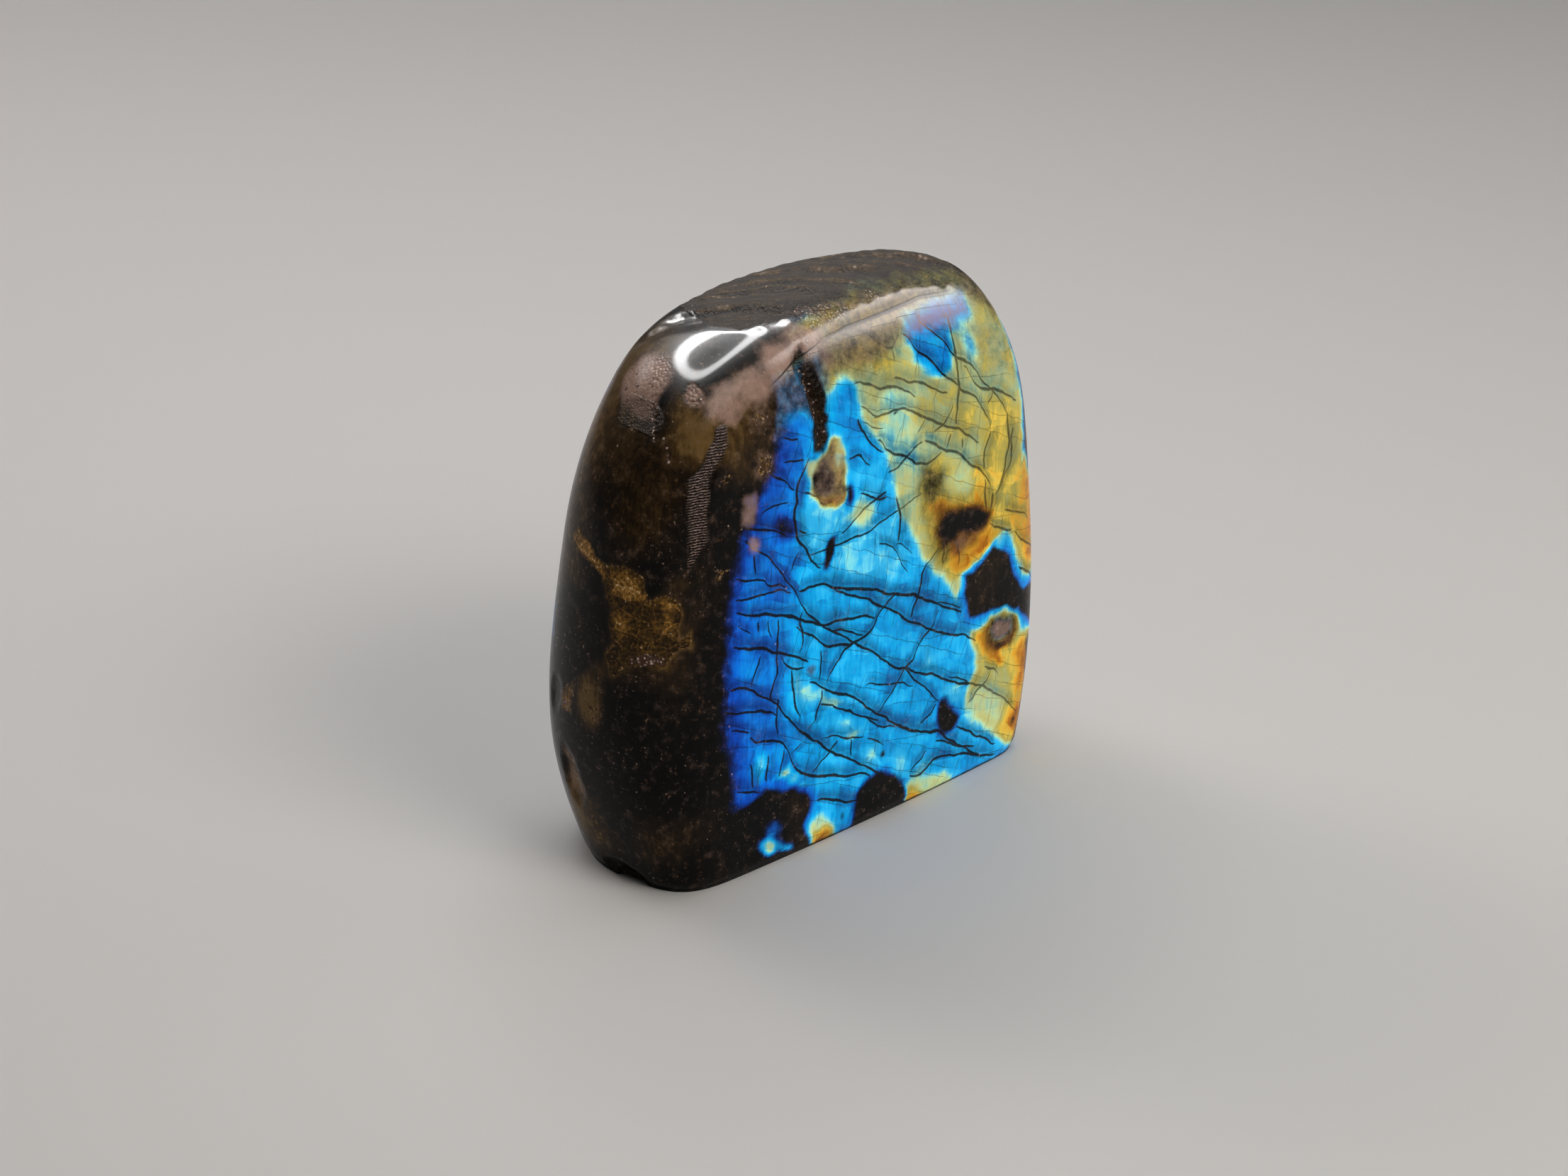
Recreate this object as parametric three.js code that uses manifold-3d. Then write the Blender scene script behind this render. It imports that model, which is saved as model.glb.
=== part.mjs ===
// A free-standing polished labradorite, 98 mm tall: one stone, sawn flat underneath, lapped by hand on every side
// and left as broken rock along its top. Millimetres, +Z up, origin under the middle of the stone, the blue flash
// face towards -Y and the dark end towards -X.
import * as THREE from "three";
import { mergeVertices } from "three/addons/utils/BufferGeometryUtils.js";
import Module from "manifold-3d";

// Driving dimensions of the lapped body. The centre is the point that the facets are measured from, and the heart is
// the point in the middle of the stone at the same height.
const WIDTH = 97;
const DEPTH = 41;
const HEIGHT = 98;
const CENTRE = new THREE.Vector3(-3.7, -1, 46);
const HEART = new THREE.Vector3(0, 0, CENTRE.z);
const SAWN_EDGE = 3; // the rounding where the sawn base meets the sides
const RIM_HEIGHT = 0.6; // how high that rounding's last row of points lies
const CORNER_REACH = 60; // the upright corners are tight at the base and reach their full rounding at this height
const TIGHTEST = 0.5; // their rounding at the base, as a share of the full one

// How finely the body is faceted along its width, depth and height.
const STEPS = { x: 28, y: 12, z: 30 };

// Each lapped facet is a large shallow dome. Azimuth 0 faces -Y, 90 faces +X; tilt is how far it looks up.
// Distance is from the centre to the dome's crown, bulge is the dome's radius, and round is the rounding
// between this facet and those before it.
const FACETS = [
  { name: "flash face", azimuth: 0, tilt: 1, distance: DEPTH / 2 - 0.5, bulge: 800, round: 0 },
  { name: "back", azimuth: 182, tilt: 4, distance: DEPTH / 2 + 0.5, bulge: 300, round: 24 },
  { name: "left end, low", azimuth: 280, tilt: -5, distance: WIDTH / 2 - 1, bulge: 240, round: 24 },
  { name: "left end, high", azimuth: 268, tilt: 12, distance: WIDTH / 2 + 2.5, bulge: 260, round: 26 },
  { name: "back left", azimuth: 228, tilt: 4, distance: 45, bulge: 240, round: 26 },
  { name: "back left, low", azimuth: 232, tilt: -12, distance: 46.5, bulge: 240, round: 16 },
  { name: "right end", azimuth: 90, tilt: 0, distance: WIDTH / 2 + 5.5, bulge: 200, round: 18 },
  { name: "back right", azimuth: 138, tilt: 4, distance: 47, bulge: 200, round: 28 },
  { name: "top", azimuth: 180, tilt: 82, distance: HEIGHT - CENTRE.z, bulge: 300, round: 8 },
  { name: "roll above the flash", azimuth: 4, tilt: 36, distance: 42, bulge: 260, round: 12 },
  { name: "left shoulder", azimuth: 256, tilt: 50, distance: 57, bulge: 220, round: 24 },
  { name: "right shoulder", azimuth: 96, tilt: 44, distance: 75, bulge: 220, round: 24 },
];

// A furrow is cut with a rod that is thin at both tips and swells between them.
const ROD = { sides: 8, ringsPerPoint: 4, tip: 0.12, fullness: 0.6 };

// The furrow under the ridge, with the crease that carries it on towards the dark end: [x, z] seen from the front.
const FURROW = { path: [[30.5, 91.6], [21.3, 93.1], [11.3, 93.2], [2.1, 93.3], [-5.2, 92.8]], half: 0.8, deep: 1.1 };
const CREASE = { path: [[-5.5, 92.6], [-12.7, 91], [-18.3, 88.6]], half: 0.4, deep: 0.5 };
// The crust-filled crack that opens down from it into the flash face.
const CRACK = {
  path: [[-9.4, 92.9], [-11.7, 90.5], [-10.8, 87.4], [-9.3, 83.4], [-8.4, 79.5], [-9.4, 74.7]],
  half: 1.1,
  deep: 1.3,
};
// The unpolished strip on the dark side and the short crack above it.
const STRIP = { path: [[-29.8, 85.9], [-32.2, 80.5], [-34.9, 75.1], [-36, 69.2], [-37.5, 61.9]], half: 1.4, deep: 0.5 };
const NICK = { path: [[-36, 88.7], [-39, 83.1]], half: 0.5, deep: 0.6 };

// Flakes broken off the dark end: middle [y, z] seen from the left, then half length, half width and depth.
const CHIPS = [
  { y: 2, z: 18.5, turn: 12, long: 6, wide: 2.6, deep: 0.9 },
  { y: 6, z: 33, turn: -20, long: 4, wide: 2.2, deep: 0.6 },
  { y: -7, z: 1.5, turn: 80, long: 5, wide: 2, deep: 1.1 },
];

// The broken top: ledges that cross it at a slant, each a shallow wedge that steps down towards the dark end.
const LEDGES = {
  count: 10,
  first: -19, // the x of the first ledge's middle
  last: 30,
  y: 1,
  slantFrom: -52, // degrees from +X in plan
  slantTo: -28,
  long: 22,
  wide: 6,
  high: 4,
  tip: 9, // degrees that each wedge leans
  deep: 0.9,
  uneven: { deep: 0.45, long: 0.25, y: 2 }, // how far a ledge's depth, length and place stray from the next one's
};

const wasm = await Module();
wasm.setup();

// The unit vector that an azimuth and a tilt name.
function facing(azimuth, tilt) {
  const a = THREE.MathUtils.degToRad(azimuth);
  const e = THREE.MathUtils.degToRad(tilt);
  return new THREE.Vector3(Math.sin(a) * Math.cos(e), -Math.cos(a) * Math.cos(e), Math.sin(e));
}

const domes = FACETS.map(({ azimuth, tilt, distance, bulge, round }) => ({
  middle: facing(azimuth, tilt).multiplyScalar(distance - bulge).add(CENTRE),
  bulge,
  round,
}));

// The larger of two distances, eased over the given rounding.
function blend(f, g, round) {
  const near = Math.max(round - Math.abs(f - g), 0) / round;
  return Math.max(f, g) + (near ** 3 * round) / 6;
}

// How far a point is outside the lapped body: negative inside, zero on its surface.
function outside(point) {
  const ease = TIGHTEST + (1 - TIGHTEST) * THREE.MathUtils.smoothstep(point.z, 0, CORNER_REACH);
  let f = null;
  for (const { middle, bulge, round } of domes) {
    const g = point.distanceTo(middle) - bulge;
    f = f === null ? g : blend(f, g, round * ease);
  }
  return blend(f, -point.z, SAWN_EDGE);
}

// The point of the surface that a line from inside the stone meets.
function surfaceFrom(start, direction) {
  let near = 0;
  let far = 2 * HEIGHT;
  const point = new THREE.Vector3();
  for (let i = 0; i < 40; i += 1) {
    const middle = (near + far) / 2;
    point.copy(start).addScaledVector(direction, middle);
    if (outside(point) < 0) near = middle;
    else far = middle;
  }
  return point;
}

// The outward normal of the body at a point of its surface.
function normalAt(point) {
  const step = 0.05;
  const slope = ["x", "y", "z"].map((axis) => {
    const ahead = point.clone();
    const behind = point.clone();
    ahead[axis] += step;
    behind[axis] -= step;
    return outside(ahead) - outside(behind);
  });
  return new THREE.Vector3(...slope).normalize();
}

// A three.js geometry as a closed solid with its shared vertices merged.
function solidOf(geometry) {
  const bare = geometry.clone();
  bare.deleteAttribute("normal");
  bare.deleteAttribute("uv");
  const merged = mergeVertices(bare, 1e-4);
  return new wasm.Manifold(
    new wasm.Mesh({
      numProp: 3,
      vertProperties: merged.getAttribute("position").array,
      triVerts: new Uint32Array(merged.index.array),
    }),
  );
}

// Where a point of the block lands on the stone. Below the heart it goes out level, so that the rim of the sawn base
// is one clean line; above, it goes out from the heart. The base itself is flat, with its rings drawn in to the rim.
function landing(x, y, z) {
  const low = z < HEART.z;
  const height = low ? Math.max(z, RIM_HEIGHT) : HEART.z;
  const start = new THREE.Vector3(0, 0, height);
  const ring = Math.max((2 * Math.abs(x)) / WIDTH, (2 * Math.abs(y)) / DEPTH);
  if (z < RIM_HEIGHT && ring < 0.01) return new THREE.Vector3();
  const found = surfaceFrom(start, new THREE.Vector3(x, y, low ? 0 : z - height).normalize());
  if (z >= RIM_HEIGHT || ring > 0.99) return found;
  return found.multiplyScalar(Math.sin((ring * Math.PI) / 2)).setZ(0);
}

// The lapped body: an even grid on a block, with each of its points carried out onto the surface.
function lappedBody() {
  const block = new THREE.BoxGeometry(WIDTH, DEPTH, HEIGHT, STEPS.x, STEPS.y, STEPS.z);
  block.translate(0, 0, HEIGHT / 2);
  const place = block.getAttribute("position");
  for (let i = 0; i < place.count; i += 1) {
    const { x, y, z } = landing(place.getX(i), place.getY(i), place.getZ(i));
    place.setXYZ(i, x, y, z);
  }
  return solidOf(block);
}

// A tapered furrow that follows points [x, z] of the front: half as wide and as deep as told at its middle.
function furrowCut({ path, half, deep }) {
  const front = new THREE.Vector3(0, -1, 0);
  const points = path.map(([x, z]) => surfaceFrom(new THREE.Vector3(x, CENTRE.y, z), front));
  const curve = new THREE.CatmullRomCurve3(points);
  const rod = new THREE.CylinderGeometry(1, 1, 1, ROD.sides, path.length * ROD.ringsPerPoint);
  const place = rod.getAttribute("position");
  for (let i = 0; i < place.count; i += 1) {
    const along = place.getY(i) + 0.5;
    const middle = curve.getPoint(along);
    const ahead = curve.getTangent(along);
    const out = normalAt(middle);
    const side = new THREE.Vector3().crossVectors(ahead, out).normalize();
    const swell = ROD.tip + (1 - ROD.tip) * Math.sin(Math.PI * along) ** ROD.fullness;
    middle.addScaledVector(side, place.getX(i) * half * swell);
    middle.addScaledVector(out, place.getZ(i) * deep * swell);
    place.setXYZ(i, middle.x, middle.y, middle.z);
  }
  return solidOf(rod);
}

// A flake broken off the dark end, flat-faced as a conchoidal chip is.
function chipCut({ y, z, turn, long, wide, deep }) {
  const middle = surfaceFrom(new THREE.Vector3(CENTRE.x, y, z), new THREE.Vector3(-1, 0, 0));
  const out = normalAt(middle);
  const side = new THREE.Vector3(0, 0, 1).cross(out).normalize();
  const up = new THREE.Vector3().crossVectors(out, side);
  const flake = new THREE.IcosahedronGeometry(1, 1);
  flake.scale(wide, long, deep);
  flake.rotateZ(THREE.MathUtils.degToRad(turn));
  flake.applyMatrix4(new THREE.Matrix4().makeBasis(side, up, out).setPosition(middle));
  return solidOf(flake);
}

// One ledge of the broken top: a leaning wedge whose low edge sits under the top, no two as long or as deep.
function ledgeCut(index) {
  const { count, first, last, y, slantFrom, slantTo, long, wide, high, tip, deep, uneven } = LEDGES;
  const share = index / (count - 1);
  const depth = deep * (1 + uneven.deep * Math.sin(2.4 * index));
  const length = long * (1 + uneven.long * Math.sin(1.7 * index + 1));
  const below = new THREE.Vector3(
    THREE.MathUtils.lerp(first, last, share),
    y + uneven.y * Math.sin(4.1 * index),
    CENTRE.z,
  );
  const top = surfaceFrom(below, new THREE.Vector3(0, 0, 1));
  const wedge = new THREE.BoxGeometry(length, wide, high);
  wedge.translate(0, -wide / 2, high / 2);
  wedge.rotateX(THREE.MathUtils.degToRad(-tip));
  wedge.rotateZ(THREE.MathUtils.degToRad(THREE.MathUtils.lerp(slantFrom, slantTo, share)));
  const leaning = new THREE.Quaternion().setFromUnitVectors(new THREE.Vector3(0, 0, 1), normalAt(top));
  wedge.applyQuaternion(leaning);
  wedge.translate(top.x, top.y, top.z - depth);
  return solidOf(wedge);
}

const cuts = [
  ...[FURROW, CREASE, CRACK, STRIP, NICK].map(furrowCut),
  ...CHIPS.map(chipCut),
  ...Array.from({ length: LEDGES.count }, (_, index) => ledgeCut(index)),
];
const carved = cuts.reduce((stone, cut) => stone.subtract(cut), lappedBody()).getMesh();

const shape = new THREE.BufferGeometry();
shape.setAttribute("position", new THREE.BufferAttribute(carved.vertProperties, carved.numProp));
shape.setIndex(new THREE.BufferAttribute(carved.triVerts, 1));
shape.computeBoundingBox();
const middle = shape.boundingBox.getCenter(new THREE.Vector3());
shape.translate(-middle.x, -middle.y, 0); // the origin sits under the middle of the stone
shape.computeVertexNormals();

const polishedStone = new THREE.MeshStandardMaterial({ color: 0x2e2a26, roughness: 0.15, metalness: 0 });
const stone = new THREE.Mesh(shape, polishedStone);
stone.name = "labradorite";

const labradorite = new THREE.Group();
labradorite.add(stone);

export default labradorite;
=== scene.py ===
# %% [markdown]
# # A polished labradorite on its sawn base
# The object is one stone about 98 mm tall. Labradorite is a dark feldspar that grew in layers far thinner
# than a hair. Where a lapped face lies almost along those layers they throw back one colour of the light:
# blue where they are thin, gold and orange where they are thick. This lesson rebuilds the stone's surface
# finer than the CAD has it, and then paints the flash, the cracks and the dull dark rock with nodes only.

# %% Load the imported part
import math

import bpy
import numpy as np
from mathutils import Matrix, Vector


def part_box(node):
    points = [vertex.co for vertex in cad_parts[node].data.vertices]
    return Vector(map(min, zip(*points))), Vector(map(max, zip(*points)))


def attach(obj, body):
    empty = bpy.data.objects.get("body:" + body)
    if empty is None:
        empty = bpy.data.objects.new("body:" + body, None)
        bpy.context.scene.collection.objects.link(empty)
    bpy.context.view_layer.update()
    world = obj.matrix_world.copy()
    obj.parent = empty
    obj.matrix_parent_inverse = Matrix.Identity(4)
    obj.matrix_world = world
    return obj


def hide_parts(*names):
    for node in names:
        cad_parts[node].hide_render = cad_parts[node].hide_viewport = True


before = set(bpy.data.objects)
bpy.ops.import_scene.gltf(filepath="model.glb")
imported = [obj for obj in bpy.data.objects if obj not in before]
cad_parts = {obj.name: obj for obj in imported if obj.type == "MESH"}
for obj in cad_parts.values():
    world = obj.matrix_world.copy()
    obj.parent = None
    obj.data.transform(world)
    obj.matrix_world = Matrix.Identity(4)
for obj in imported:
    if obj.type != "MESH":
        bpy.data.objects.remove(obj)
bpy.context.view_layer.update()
node_low, node_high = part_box("labradorite")
print("CAD box in mm:", [round((b - a) * 1000, 1) for a, b in zip(node_low, node_high)])

# %% [markdown]
# ## Units and colours
# The stone is described in millimetres, because that is how one measures it, and Blender gets metres.
# Colours are written as the hex values that a screen shows; the shader works with light itself, so they are
# turned to linear.

# %% Millimetres and colours
MM = 0.001


def linear(hex_colour):
    """An sRGB hex colour as the linear RGBA that Blender's sockets take."""
    channels = []
    for start in (0, 2, 4):
        share = int(hex_colour[start : start + 2], 16) / 255
        channels.append(share / 12.92 if share <= 0.04045 else ((share + 0.055) / 1.055) ** 2.4)
    return (*channels, 1.0)


def facing(azimuth, tilt):
    """The unit vector of a direction: azimuth 0 is -Y and 90 is +X, and tilt is how far it looks up."""
    a = math.radians(azimuth)
    e = math.radians(tilt)
    return np.array([math.sin(a) * math.cos(e), -math.cos(a) * math.cos(e), math.sin(e)])


print("azure of the flash, linear:", [round(c, 3) for c in linear("0E93E8")[:3]])

# %% [markdown]
# ## The lapped body
# A freeform like this is ground by hand against a flat wheel, one broad facet after another, and then
# polished until the edges between them roll into each other. It could be sculpted, but a sculpt would drift
# from the solid that the checks ran on. So the same facets are written down here as large shallow domes,
# and a formula says how far any point is outside all of them at once. The rounding between two facets is a
# smooth maximum of the two distances.

# %% The facets of the body
WIDTH = 97
DEPTH = 41
HEIGHT = 98
CENTRE = np.array([-3.7, -1.0, 46.0])
SAWN_EDGE = 3
RIM_HEIGHT = 0.6
CORNER_REACH = 60
TIGHTEST = 0.5
HALVINGS = 34  # enough to find the surface to a millionth of a millimetre

# name, azimuth, tilt, distance from the centre, radius of the dome, rounding against the facets before it
FACETS = [
    ("flash face", 0, 1, DEPTH / 2 - 0.5, 800, 0),
    ("back", 182, 4, DEPTH / 2 + 0.5, 300, 24),
    ("left end, low", 280, -5, WIDTH / 2 - 1, 240, 24),
    ("left end, high", 268, 12, WIDTH / 2 + 2.5, 260, 26),
    ("back left", 228, 4, 45, 240, 26),
    ("back left, low", 232, -12, 46.5, 240, 16),
    ("right end", 90, 0, WIDTH / 2 + 5.5, 200, 18),
    ("back right", 138, 4, 47, 200, 28),
    ("top", 180, 82, HEIGHT - CENTRE[2], 300, 8),
    ("roll above the flash", 4, 36, 42, 260, 12),
    ("left shoulder", 256, 50, 57, 220, 24),
    ("right shoulder", 96, 44, 75, 220, 24),
]


def blend(f, g, rounding):
    """The larger of two distances, eased over the given rounding."""
    near = np.maximum(rounding - np.abs(f - g), 0) / rounding
    return np.maximum(f, g) + near**3 * rounding / 6


def outside(points):
    """How far each point is outside the lapped body, in mm: negative inside, zero on its surface."""
    share = np.clip(points[..., 2] / CORNER_REACH, 0, 1)
    ease = TIGHTEST + (1 - TIGHTEST) * share * share * (3 - 2 * share)
    distance = None
    for _, azimuth, tilt, reach, bulge, rounding in FACETS:
        middle = CENTRE + facing(azimuth, tilt) * (reach - bulge)
        dome = np.linalg.norm(points - middle, axis=-1) - bulge
        distance = dome if distance is None else blend(distance, dome, rounding * ease)
    return blend(distance, -points[..., 2], SAWN_EDGE)


def surface_from(starts, directions):
    """Where lines from inside the stone meet its surface."""
    near = np.zeros(starts.shape[:-1])
    far = np.full(starts.shape[:-1], 2.0 * HEIGHT)
    for _ in range(HALVINGS):
        middle = (near + far) / 2
        inside = outside(starts + directions * middle[..., None]) < 0
        near = np.where(inside, middle, near)
        far = np.where(inside, far, middle)
    return starts + directions * near[..., None]


def normals_at(points, step=0.05):
    """The outward normals of the body at points of its surface."""
    slopes = []
    for axis in np.eye(3):
        slopes.append(outside(points + axis * step) - outside(points - axis * step))
    slope = np.stack(slopes, axis=-1)
    return slope / np.linalg.norm(slope, axis=-1, keepdims=True)


print(len(FACETS), "facets; the body's crown is", round(surface_from(CENTRE, facing(0, 90))[2], 1), "mm up")

# %% [markdown]
# ## A fine, even net over it
# The CAD solid has about 8,500 triangles, which shows as facets in a polished surface, because a reflection
# betrays every corner. A subdivision surface would smooth them, but it would also shrink the stone. Instead
# a block is cut into cells of about 0.65 mm, and each point of it is carried straight out until it meets
# the body.

# %% The net
CELLS = (140, 60, 150)  # along the width, depth and height


def block_quads(cells):
    """The quads on the six sides of a block, as an array of lattice points: quad, corner, (i, j, k)."""
    sides = []
    for axis in range(3):
        u, v = (axis + 1) % 3, (axis + 2) % 3
        a, b = np.meshgrid(np.arange(cells[u]), np.arange(cells[v]), indexing="ij")
        for end in (0, 1):
            quads = np.zeros((a.size, 4, 3), int)
            quads[:, :, axis] = end * cells[axis]
            around = ((0, 0), (1, 0), (1, 1), (0, 1)) if end else ((0, 0), (0, 1), (1, 1), (1, 0))
            for corner, (du, dv) in enumerate(around):
                quads[:, corner, u] = a.ravel() + du
                quads[:, corner, v] = b.ravel() + dv
            sides.append(quads)
    return np.concatenate(sides)


corners = block_quads(CELLS)
lattice, faces = np.unique(corners.reshape(-1, 3), axis=0, return_inverse=True)
faces = faces.reshape(-1, 4)
block = (lattice / np.array(CELLS) - [0.5, 0.5, 0]) * [WIDTH, DEPTH, HEIGHT]

# %% Carry the net out onto the body
low = block[:, 2] < CENTRE[2]
level = np.where(low, np.maximum(block[:, 2], RIM_HEIGHT), CENTRE[2])
starts = np.stack([np.zeros(len(block)), np.zeros(len(block)), level], axis=-1)
directions = np.stack([block[:, 0], block[:, 1], np.where(low, 0, block[:, 2] - level)], axis=-1)
ring = np.maximum(2 * np.abs(block[:, 0]) / WIDTH, 2 * np.abs(block[:, 1]) / DEPTH)
hub = (block[:, 2] < RIM_HEIGHT) & (ring < 0.001)
directions[hub] = [1, 0, 0]
directions /= np.linalg.norm(directions, axis=-1, keepdims=True)
points = surface_from(starts, directions)
normals = normals_at(points)
sole = (block[:, 2] < RIM_HEIGHT) & (ring < 0.99)
points[sole] *= np.sin(ring[sole, None] * math.pi / 2)
points[sole, 2] = 0
normals[sole] = [0, 0, -1]
print(len(points), "points and", 2 * len(faces), "triangles")

# %% [markdown]
# ## What is broken into it
# The polish missed some places: a furrow under the ridge, a crack full of crust, a dull strip, flakes along
# the dark end, and the whole top, which was left as broken rock. In the CAD these are cuts. Here each is a
# small formula that says how deep the surface lies at a point, so that the fine net gets the same forms
# with softer, truer edges.

# %% Furrows and cracks
FURROW = dict(path=[(30.5, 91.6), (21.3, 93.1), (11.3, 93.2), (2.1, 93.3), (-5.2, 92.8)], half=0.8, deep=1.1)
CREASE = dict(path=[(-5.5, 92.6), (-12.7, 91), (-18.3, 88.6)], half=0.4, deep=0.5)
CRACK = dict(
    path=[(-9.4, 92.9), (-11.7, 90.5), (-10.8, 87.4), (-9.3, 83.4), (-8.4, 79.5), (-9.4, 74.7)],
    half=1.1,
    deep=1.3,
)
STRIP = dict(
    path=[(-29.8, 85.9), (-32.2, 80.5), (-34.9, 75.1), (-36, 69.2), (-37.5, 61.9)],
    half=1.4,
    deep=0.5,
)
NICK = dict(path=[(-36, 88.7), (-39, 83.1)], half=0.5, deep=0.6)


def along_path(points, path):
    """The signed distance to a path of [x, z] points of the front, and the share of it passed there."""
    line = np.array(path, float)
    steps = np.linalg.norm(np.diff(line, axis=0), axis=1)
    nearest = np.full(len(points), np.inf)
    side = np.ones(len(points))
    along = np.zeros(len(points))
    passed = 0.0
    for start, end, step in zip(line[:-1], line[1:], steps):
        offset = points[:, [0, 2]] - start
        heading = (end - start) / step
        share = np.clip(offset @ heading / step, 0, 1)
        gap = np.linalg.norm(offset - share[:, None] * (end - start), axis=1)
        closer = gap < nearest
        nearest = np.where(closer, gap, nearest)
        side = np.where(closer, np.sign(offset[:, 0] * heading[1] - offset[:, 1] * heading[0]), side)
        along = np.where(closer, (passed + share * step) / steps.sum(), along)
        passed += step
    return nearest * side, along


def furrow_depth(points, path, half, deep):
    """The depth of a tapered furrow along a path of [x, z] points of the front."""
    gap, along = along_path(points, path)
    swell = 0.12 + 0.88 * np.sin(math.pi * along) ** 0.6
    across = np.clip(np.abs(gap) / (1.6 * half * swell + 0.3), 0, 1)
    return np.where(points[:, 1] < 0, deep * swell * (1 - across**2) ** 2, 0)


# The share of the solid's depth that each one gets: deeper, the first two mirror the lamps as hard lines
depth = np.zeros(len(points))
for furrow, share in ((FURROW, 0.3), (CREASE, 0.3), (CRACK, 1), (STRIP, 0.6), (NICK, 0.6)):
    depth = np.maximum(depth, share * furrow_depth(points, **furrow))
print("deepest furrow:", round(float(depth.max()), 2), "mm")

# %% The thin groove at the bottom of the furrow
groove = np.full(len(points), 4.0)
grooved = np.zeros(len(points))
for furrow in (FURROW, CREASE):
    gap, along = along_path(points, furrow["path"])
    across = np.clip(gap / (0.5 * furrow["half"]), -4, 4)
    here = np.sin(math.pi * np.clip(along, 0, 1)) ** 0.5 * (points[:, 1] < 0)
    closer = (np.abs(across) < np.abs(groove)) & (here > 0)
    groove = np.where(closer, across, groove)
    grooved = np.where(closer, here, grooved)
print("the groove runs through", int((np.abs(groove) < 1).sum()), "points of the net")

# %% Flakes off the dark end
CHIPS = [
    dict(y=2, z=18.5, turn=12, long=6, wide=2.6, deep=0.9),
    dict(y=6, z=33, turn=-20, long=4, wide=2.2, deep=0.6),
    dict(y=-7, z=1.5, turn=80, long=5, wide=2, deep=1.1),
]
for chip in CHIPS:
    turn = math.radians(chip["turn"])
    sideways = points[:, 1] - chip["y"]
    upwards = points[:, 2] - chip["z"]
    across = (sideways * math.cos(turn) - upwards * math.sin(turn)) / chip["wide"]
    along = (sideways * math.sin(turn) + upwards * math.cos(turn)) / chip["long"]
    bowl = chip["deep"] * np.sqrt(np.clip(1 - across**2 - along**2, 0, 1))
    depth = np.maximum(depth, np.where(points[:, 0] < CENTRE[0], bowl, 0))
print(len(CHIPS), "flakes; the deepest cut is now", round(float(depth.max()), 2), "mm")

# %% [markdown]
# ## The broken top
# The top split along the crystal's cleavage, so it steps down in slanted ledges, each a shallow wedge. The
# CAD cuts ten wedges. The net takes the same ones and adds a coarse crumble between them; the grain finer
# than a cell is left to the material.

# %% Ledges and crumble
LEDGES = dict(
    count=10, first=-19, last=30, y=1, slant_from=-52, slant_to=-28, long=22, tip=9, deep=0.9
)
CLIFF = 1.6  # how far the steep side of a ledge takes to drop, in mm: two cells of the net


def ramp(values, start, end):
    """0 at start, 1 at end, eased between."""
    share = np.clip((values - start) / (end - start), 0, 1)
    return share * share * (3 - 2 * share)


def waves(points, length, seed, count=7):
    """A soft random unevenness between -1 and 1, from a few sine waves of about the given length in mm."""
    draw = np.random.default_rng(seed)
    total = np.zeros(len(points))
    for _ in range(count):
        heading = draw.normal(size=3)
        heading /= np.linalg.norm(heading)
        pace = 2 * math.pi / (length * draw.uniform(0.7, 1.4))
        total += np.sin(points @ heading * pace + draw.uniform(0, 2 * math.pi))
    return total / count * 1.8


broken = np.zeros(len(points))
# The lip is a painted highlight: a pale line along the top edge of each ledge, where light catches it.
ledge_highlight = np.zeros(len(points))
for index in range(LEDGES["count"]):
    share = index / (LEDGES["count"] - 1)
    x = LEDGES["first"] + (LEDGES["last"] - LEDGES["first"]) * share
    y = LEDGES["y"] + 2 * math.sin(4.1 * index)
    slant = math.radians(LEDGES["slant_from"] + (LEDGES["slant_to"] - LEDGES["slant_from"]) * share)
    deep = LEDGES["deep"] * (1 + 0.45 * math.sin(2.4 * index))
    reach = LEDGES["long"] * (1 + 0.25 * math.sin(1.7 * index + 1)) / 2
    along = (points[:, 0] - x) * math.cos(slant) + (points[:, 1] - y) * math.sin(slant)
    across = -(points[:, 0] - x) * math.sin(slant) + (points[:, 1] - y) * math.cos(slant)
    across = across + 0.5 * waves(points, 5, seed=30 + index)
    wedge = deep + across * math.tan(math.radians(LEDGES["tip"]))
    ends = ramp(np.abs(along), reach, reach - 4)
    broken = np.maximum(broken, np.clip(wedge, 0, None) * ramp(across, 0, -CLIFF) * ends)
    ledge_highlight = np.maximum(ledge_highlight, np.exp(-(((across + 0.1) / 0.5) ** 2)) * ends)
depth = np.maximum(depth, broken * ramp(normals[:, 2], 0.6, 0.8))
ledge_highlight *= ramp(normals[:, 2], 0.86, 0.95)
print("the ledges reach", round(float(broken.max()), 2), "mm down")

# %% Crumble, but only within the broken part
TOP = [
    (-13, 13), (-16, 8), (-17.2, 2.7), (-19.5, -2.7), (-19, -6.5), (-15.2, -9.6), (-11.4, -10),
    (-6.8, -11.6), (0, -11.2), (10, -10.8), (20, -10.6), (30, -10.6), (35, -9.5), (38, -5), (38, 2),
    (34, 9), (24, 12.5), (10, 14.5), (-4, 15),
]
CRUMBLE = 0.14  # mm
wobble_x = 0.35 * waves(points, 3.5, seed=11)
wobble_z = 0.35 * waves(points, 3.5, seed=12)


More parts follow.
